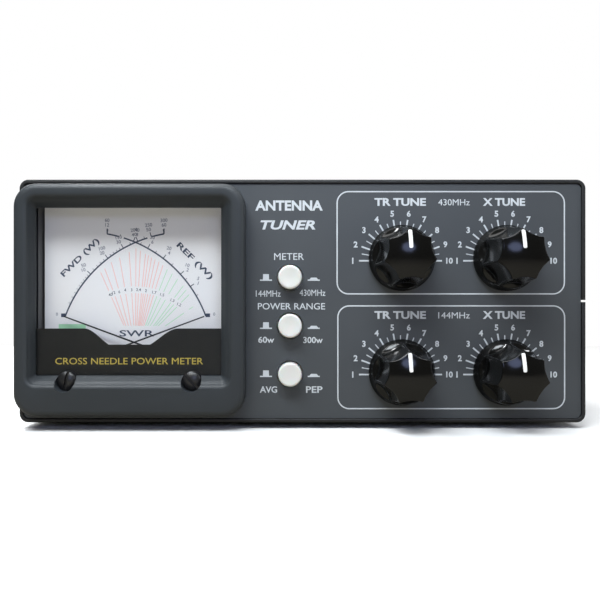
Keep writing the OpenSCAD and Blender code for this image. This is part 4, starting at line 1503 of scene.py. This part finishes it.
@dataclass
class RearSide:
    """Threaded coaxial sockets, the knurled ground nut and the print on the rear panel."""

    shop: Workshop
    thread_radius: float = 7.94
    pitch: float = 1.058
    flange: float = 25.4
    flange_thick: float = 2.2
    barrel: float = 11.0

    def build(self) -> None:
        """Makes every rear piece."""
        self.sockets()
        self.ground_nut()
        self.print()

    def socket(self, skin: Skin, x: float, z: float) -> None:
        """One socket: a flange plate with softened edges, and a barrel whose radius follows a V thread.

        The barrel's radius at height h and angle a is the outer radius less the thread depth times the
        distance of (h / pitch - a / turn) from the nearest half.

        Args:
            skin: where the socket goes.
            x: X of its axis.
            z: Z of its axis.
        """
        soft = edge_steps(0.3)
        half = self.flange / 2
        rows = [(0.0, 0.0)] + [(self.flange_thick - depth, inset) for inset, depth in soft[::-1]]
        grid = np.stack([
            level(round_loop(half - inset, half - inset, 2 - inset * 0.9, (x, z)), y) for y, inset in rows
        ])
        skin.grid(grid * [1, -1, 1]).cap(grid[0] * [1, -1, 1])
        top = level(round_loop(half - 0.3, half - 0.3, 1.7, (x, z)), self.flange_thick)
        a = np.arctan2(top[:, 2] - z, top[:, 0] - x)
        foot = np.stack([x + 7.3 * np.cos(a), top[:, 1], z + 7.3 * np.sin(a)], -1)
        skin.grid(np.stack([top, foot]) * [1, -1, 1])
        turns = np.linspace(0, TURN, 72, endpoint=False)[None, :]
        h = np.linspace(0, self.barrel - 0.7, 110)[:, None]
        wave = np.abs(np.mod(h / self.pitch - turns / TURN, 1.0) - 0.5) * 2
        fade = np.clip(np.minimum(h / 1.2, (self.barrel - 0.7 - h) / 0.8 + 0.2), 0, 1)
        radius = self.thread_radius - 0.62 * wave * fade - 0.35 * (1 - fade)
        depth = self.flange_thick + h + 0 * turns
        tube = np.stack([x + radius * np.cos(turns), depth, z + radius * np.sin(turns)], -1)
        end = self.flange_thick + self.barrel
        lip = turned(np.array([
            [7.55, end - 0.7], [7.2, end - 0.1], [7.0, end], [6.5, end], [6.3, end - 0.2], [6.3, end - 6],
            [4.8, end - 6], [4.8, -4.0], [7.5, -4.0], [7.5, 0.0],
        ]), 72, (x, z))
        skin.grid(np.concatenate([tube, lip]) * [1, -1, 1])

    def sockets(self) -> None:
        """Both sockets as one piece, the screws' heads covering their holes."""
        skin = Skin()
        for x in (-62.0, 62.0):
            self.socket(skin, x, 6.0)
        piece = skin.make("coax_shells_threaded", REAR)
        self.shop.dress(piece, "nickel_plate", replaces=("coax_shells",))

    def ground_nut(self) -> None:
        """A hexagon nut and a thumb nut with a knurled rim: radius 5 + 0.12 cos 40 a."""
        low, high = (np.array(c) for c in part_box("ground_nuts"))
        x, z = -(low[0] + high[0]) / 2 / MM, (low[2] + high[2]) / 2 / MM - REAR.z / MM
        skin = Skin()
        a = np.linspace(0, TURN, 240, endpoint=False)[None, :]
        rows = np.array([
            [2.02, 3.4, 0], [4.0, 3.4, 0], [4.0, 5.0, 0], [4.55, 5.0, 0.3], [4.85, 5.3, 1], [4.85, 10.6, 1],
            [4.5, 10.95, 0.3], [3.2, 10.95, 0], [2.9, 10.7, 0], [2.02, 10.7, 0],
        ])
        radius = rows[:, :1] + rows[:, 2:] * 0.12 * np.cos(40 * a)
        grid = np.stack([x + radius * np.cos(a), -(rows[:, 1:2] + 0 * a), z + radius * np.sin(a)], -1)
        skin.grid(grid, rows_close=True)
        six = np.linspace(0, TURN, 7)[:-1]
        corner = np.stack([x + 3.9 * np.cos(six), z + 3.9 * np.sin(six)], -1)
        hole = np.stack([x + 2.02 * np.cos(six), z + 2.02 * np.sin(six)], -1)
        chamfer = hole + (corner - hole) * 0.86
        loops = [
            level(corner, -0.02), level(corner, -2.2), level(chamfer, -2.4),
            level(hole, -2.4), level(hole, -0.02),
        ]
        skin.grid(np.stack(loops), rows_close=True)
        self.shop.dress(skin.make("ground_nuts_knurled", REAR), "brass", replaces=("ground_nuts",))

    def print(self) -> None:
        """Generic legends beside each rear fitting, read from behind."""
        skin = Skin()
        for words, x, z, height in (
            ("TX", 62.0, 23.5, 3.2), ("ANT", -62.0, 23.5, 3.2), ("GND", -24.0, -30.0, 2.4),
            ("DC 13.8V", 0.0, 15.5, 2.4), ("144/430MHz", 0.0, 34.0, 2.6), ("300w MAX", 0.0, 29.0, 2.4),
        ):
            write(skin, Legend(words, x, z, height), 0.0)
        self.shop.dress(skin.make("rear_print", REAR), "rear_ink")


# ---- stage ---------------------------------------------------------------------------


@dataclass(frozen=True)
class Softbox:
    """An oval lamp: its place and size in metres, its power in watts and its colour."""

    place: tuple[float, float, float]
    size: tuple[float, float]
    power: float
    colour: Colour

    def hang(self, name: str, target: tuple[float, float, float]) -> None:
        """Adds the lamp, aimed at a point.

        Args:
            name: the lamp's name.
            target: what it points at, in metres.
        """
        data = bpy.data.lights.new(name, "AREA")
        data.shape, data.size, data.size_y, data.energy = "ELLIPSE", *self.size, self.power
        data.color = self.colour
        lamp = bpy.data.objects.new(name, data)
        lamp.location = self.place
        lamp.rotation_mode = "QUATERNION"
        lamp.rotation_quaternion = (Vector(target) - Vector(self.place)).to_track_quat("-Z", "Y")
        bpy.context.scene.collection.objects.link(lamp)


@dataclass
class Studio:
    """A pale floor, soft lights and the camera in front of the panel."""

    distance: float = 258.0
    foot: tuple[float, float] = (-5.0, 0.0)
    lens: float = 38.7
    shift: tuple[float, float] = (0.0167, 0.0017)
    room: Colour = (0.13, 0.125, 0.11)
    bounce: Colour = (0.34, 0.31, 0.25)
    paper: Colour = (0.95, 0.95, 0.95)
    sheet_x: tuple[float, float] = (-1100.0, 1100.0)
    sheet_y: tuple[float, float] = (-1100.0, 420.0)
    target: tuple[float, float, float] = (0.0, 0.0, 0.05)
    lamps: tuple[Softbox, ...] = (
        Softbox((-0.08, -0.23, 0.34), (0.5, 0.06), 1.7, (0.86, 0.94, 1.0)),
        Softbox((-0.3, -0.75, 0.85), (0.35, 0.25), 3.0, (1.0, 0.98, 0.93)),
        Softbox((1.0, -0.4, 0.3), (0.3, 0.6), 2.2, (0.93, 0.96, 1.0)),
        Softbox((-0.2, -0.08, 0.5), (0.09, 0.07), 1.2, (0.95, 0.98, 1.0)),
        Softbox((0.35, -0.08, 0.45), (0.06, 0.06), 0.45, (0.95, 0.98, 1.0)),
        Softbox((0.14, -1.0, 0.35), (0.38, 0.26), 1.3, (0.5, 0.6, 1.0)),
        Softbox((0.0, 0.2, 1.5), (1.2, 1.2), 12.0, (1.0, 1.0, 1.0)),
        Softbox((-0.5, 0.9, 0.55), (0.5, 0.35), 6.0, (1.0, 1.0, 1.0)),
    )

    def build(self) -> None:
        """Sets the whole stage."""
        scene = bpy.context.scene
        scene.view_settings.view_transform = "Standard"
        self.floor()
        self.world()
        for number, lamp in enumerate(self.lamps):
            lamp.hang(f"softbox_{number}", self.target)
        self.camera()

    def floor(self) -> None:
        """A large pale flat sheet under the feet, which throws little of its light back on the tuner."""
        corners = np.array([[[x, y, 0.0] for x in self.sheet_x] for y in self.sheet_y])
        sheet = Skin().grid(corners, cols_close=False).make("floor", Datum(0, 0, 0))
        t = Tree("floor_paper")
        seen = t.add("ShaderNodeLightPath", {}, {}, "Is Camera Ray")
        shader = t.add(
            "ShaderNodeBsdfPrincipled",
            {},
            {
                "Base Color": t.blend(seen * (t.noise(30, 4) * 0.05 + 0.95), self.bounce, self.paper),
                "Roughness": 0.9,
                "Normal": t.bump(t.noise(600, 3), 0.05),
            },
            "BSDF",
        )
        sheet.data.materials.append(t.finish(shader))

    def world(self) -> None:
        """White where the camera looks past the tuner, a dim room for everything that it mirrors."""
        world = bpy.data.worlds.new("surround")
        world.use_nodes = True
        tree = world.node_tree
        paper = tree.nodes["Background"]
        paper.inputs[0].default_value = (1, 1, 1, 1)
        room = tree.nodes.new("ShaderNodeBackground")
        room.inputs[0].default_value = (*self.room, 1)
        seen = tree.nodes.new("ShaderNodeLightPath")
        mix = tree.nodes.new("ShaderNodeMixShader")
        tree.links.new(seen.outputs["Is Camera Ray"], mix.inputs[0])
        tree.links.new(room.outputs[0], mix.inputs[1])
        tree.links.new(paper.outputs[0], mix.inputs[2])
        tree.links.new(mix.outputs[0], tree.nodes["World Output"].inputs[0])
        bpy.context.scene.world = world

    def camera(self) -> None:
        """The camera looks square at the panel from its foot point, with the lens shifted to the case."""
        data = bpy.data.cameras.new("camera")
        data.lens, data.sensor_width = self.lens, 36.0
        data.shift_x, data.shift_y = self.shift
        data.clip_start = 0.01
        camera = bpy.data.objects.new("camera", data)
        place = FRONT.place(np.array([self.foot[0], -self.distance, self.foot[1]]))
        camera.location = place.tolist()
        camera.rotation_euler = (math.pi / 2, 0, 0)
        bpy.context.scene.collection.objects.link(camera)
        bpy.context.scene.camera = camera


def main() -> None:
    """Builds the stage, dresses the frame and makes every new piece."""
    logging.basicConfig(level=logging.INFO, format="%(message)s")
    Studio().build()
    shop = Workshop(Finishes())
    shop.repaint_frame()
    for maker in (Case, FrontPrint, FlutedKnob, PushButtons, Bezel, ZeroScrews, Needles, Mask, Dial, RearSide):
        maker(shop).build()
    log.info("%d new pieces", shop.count)


if __name__ == "__main__":
    main()
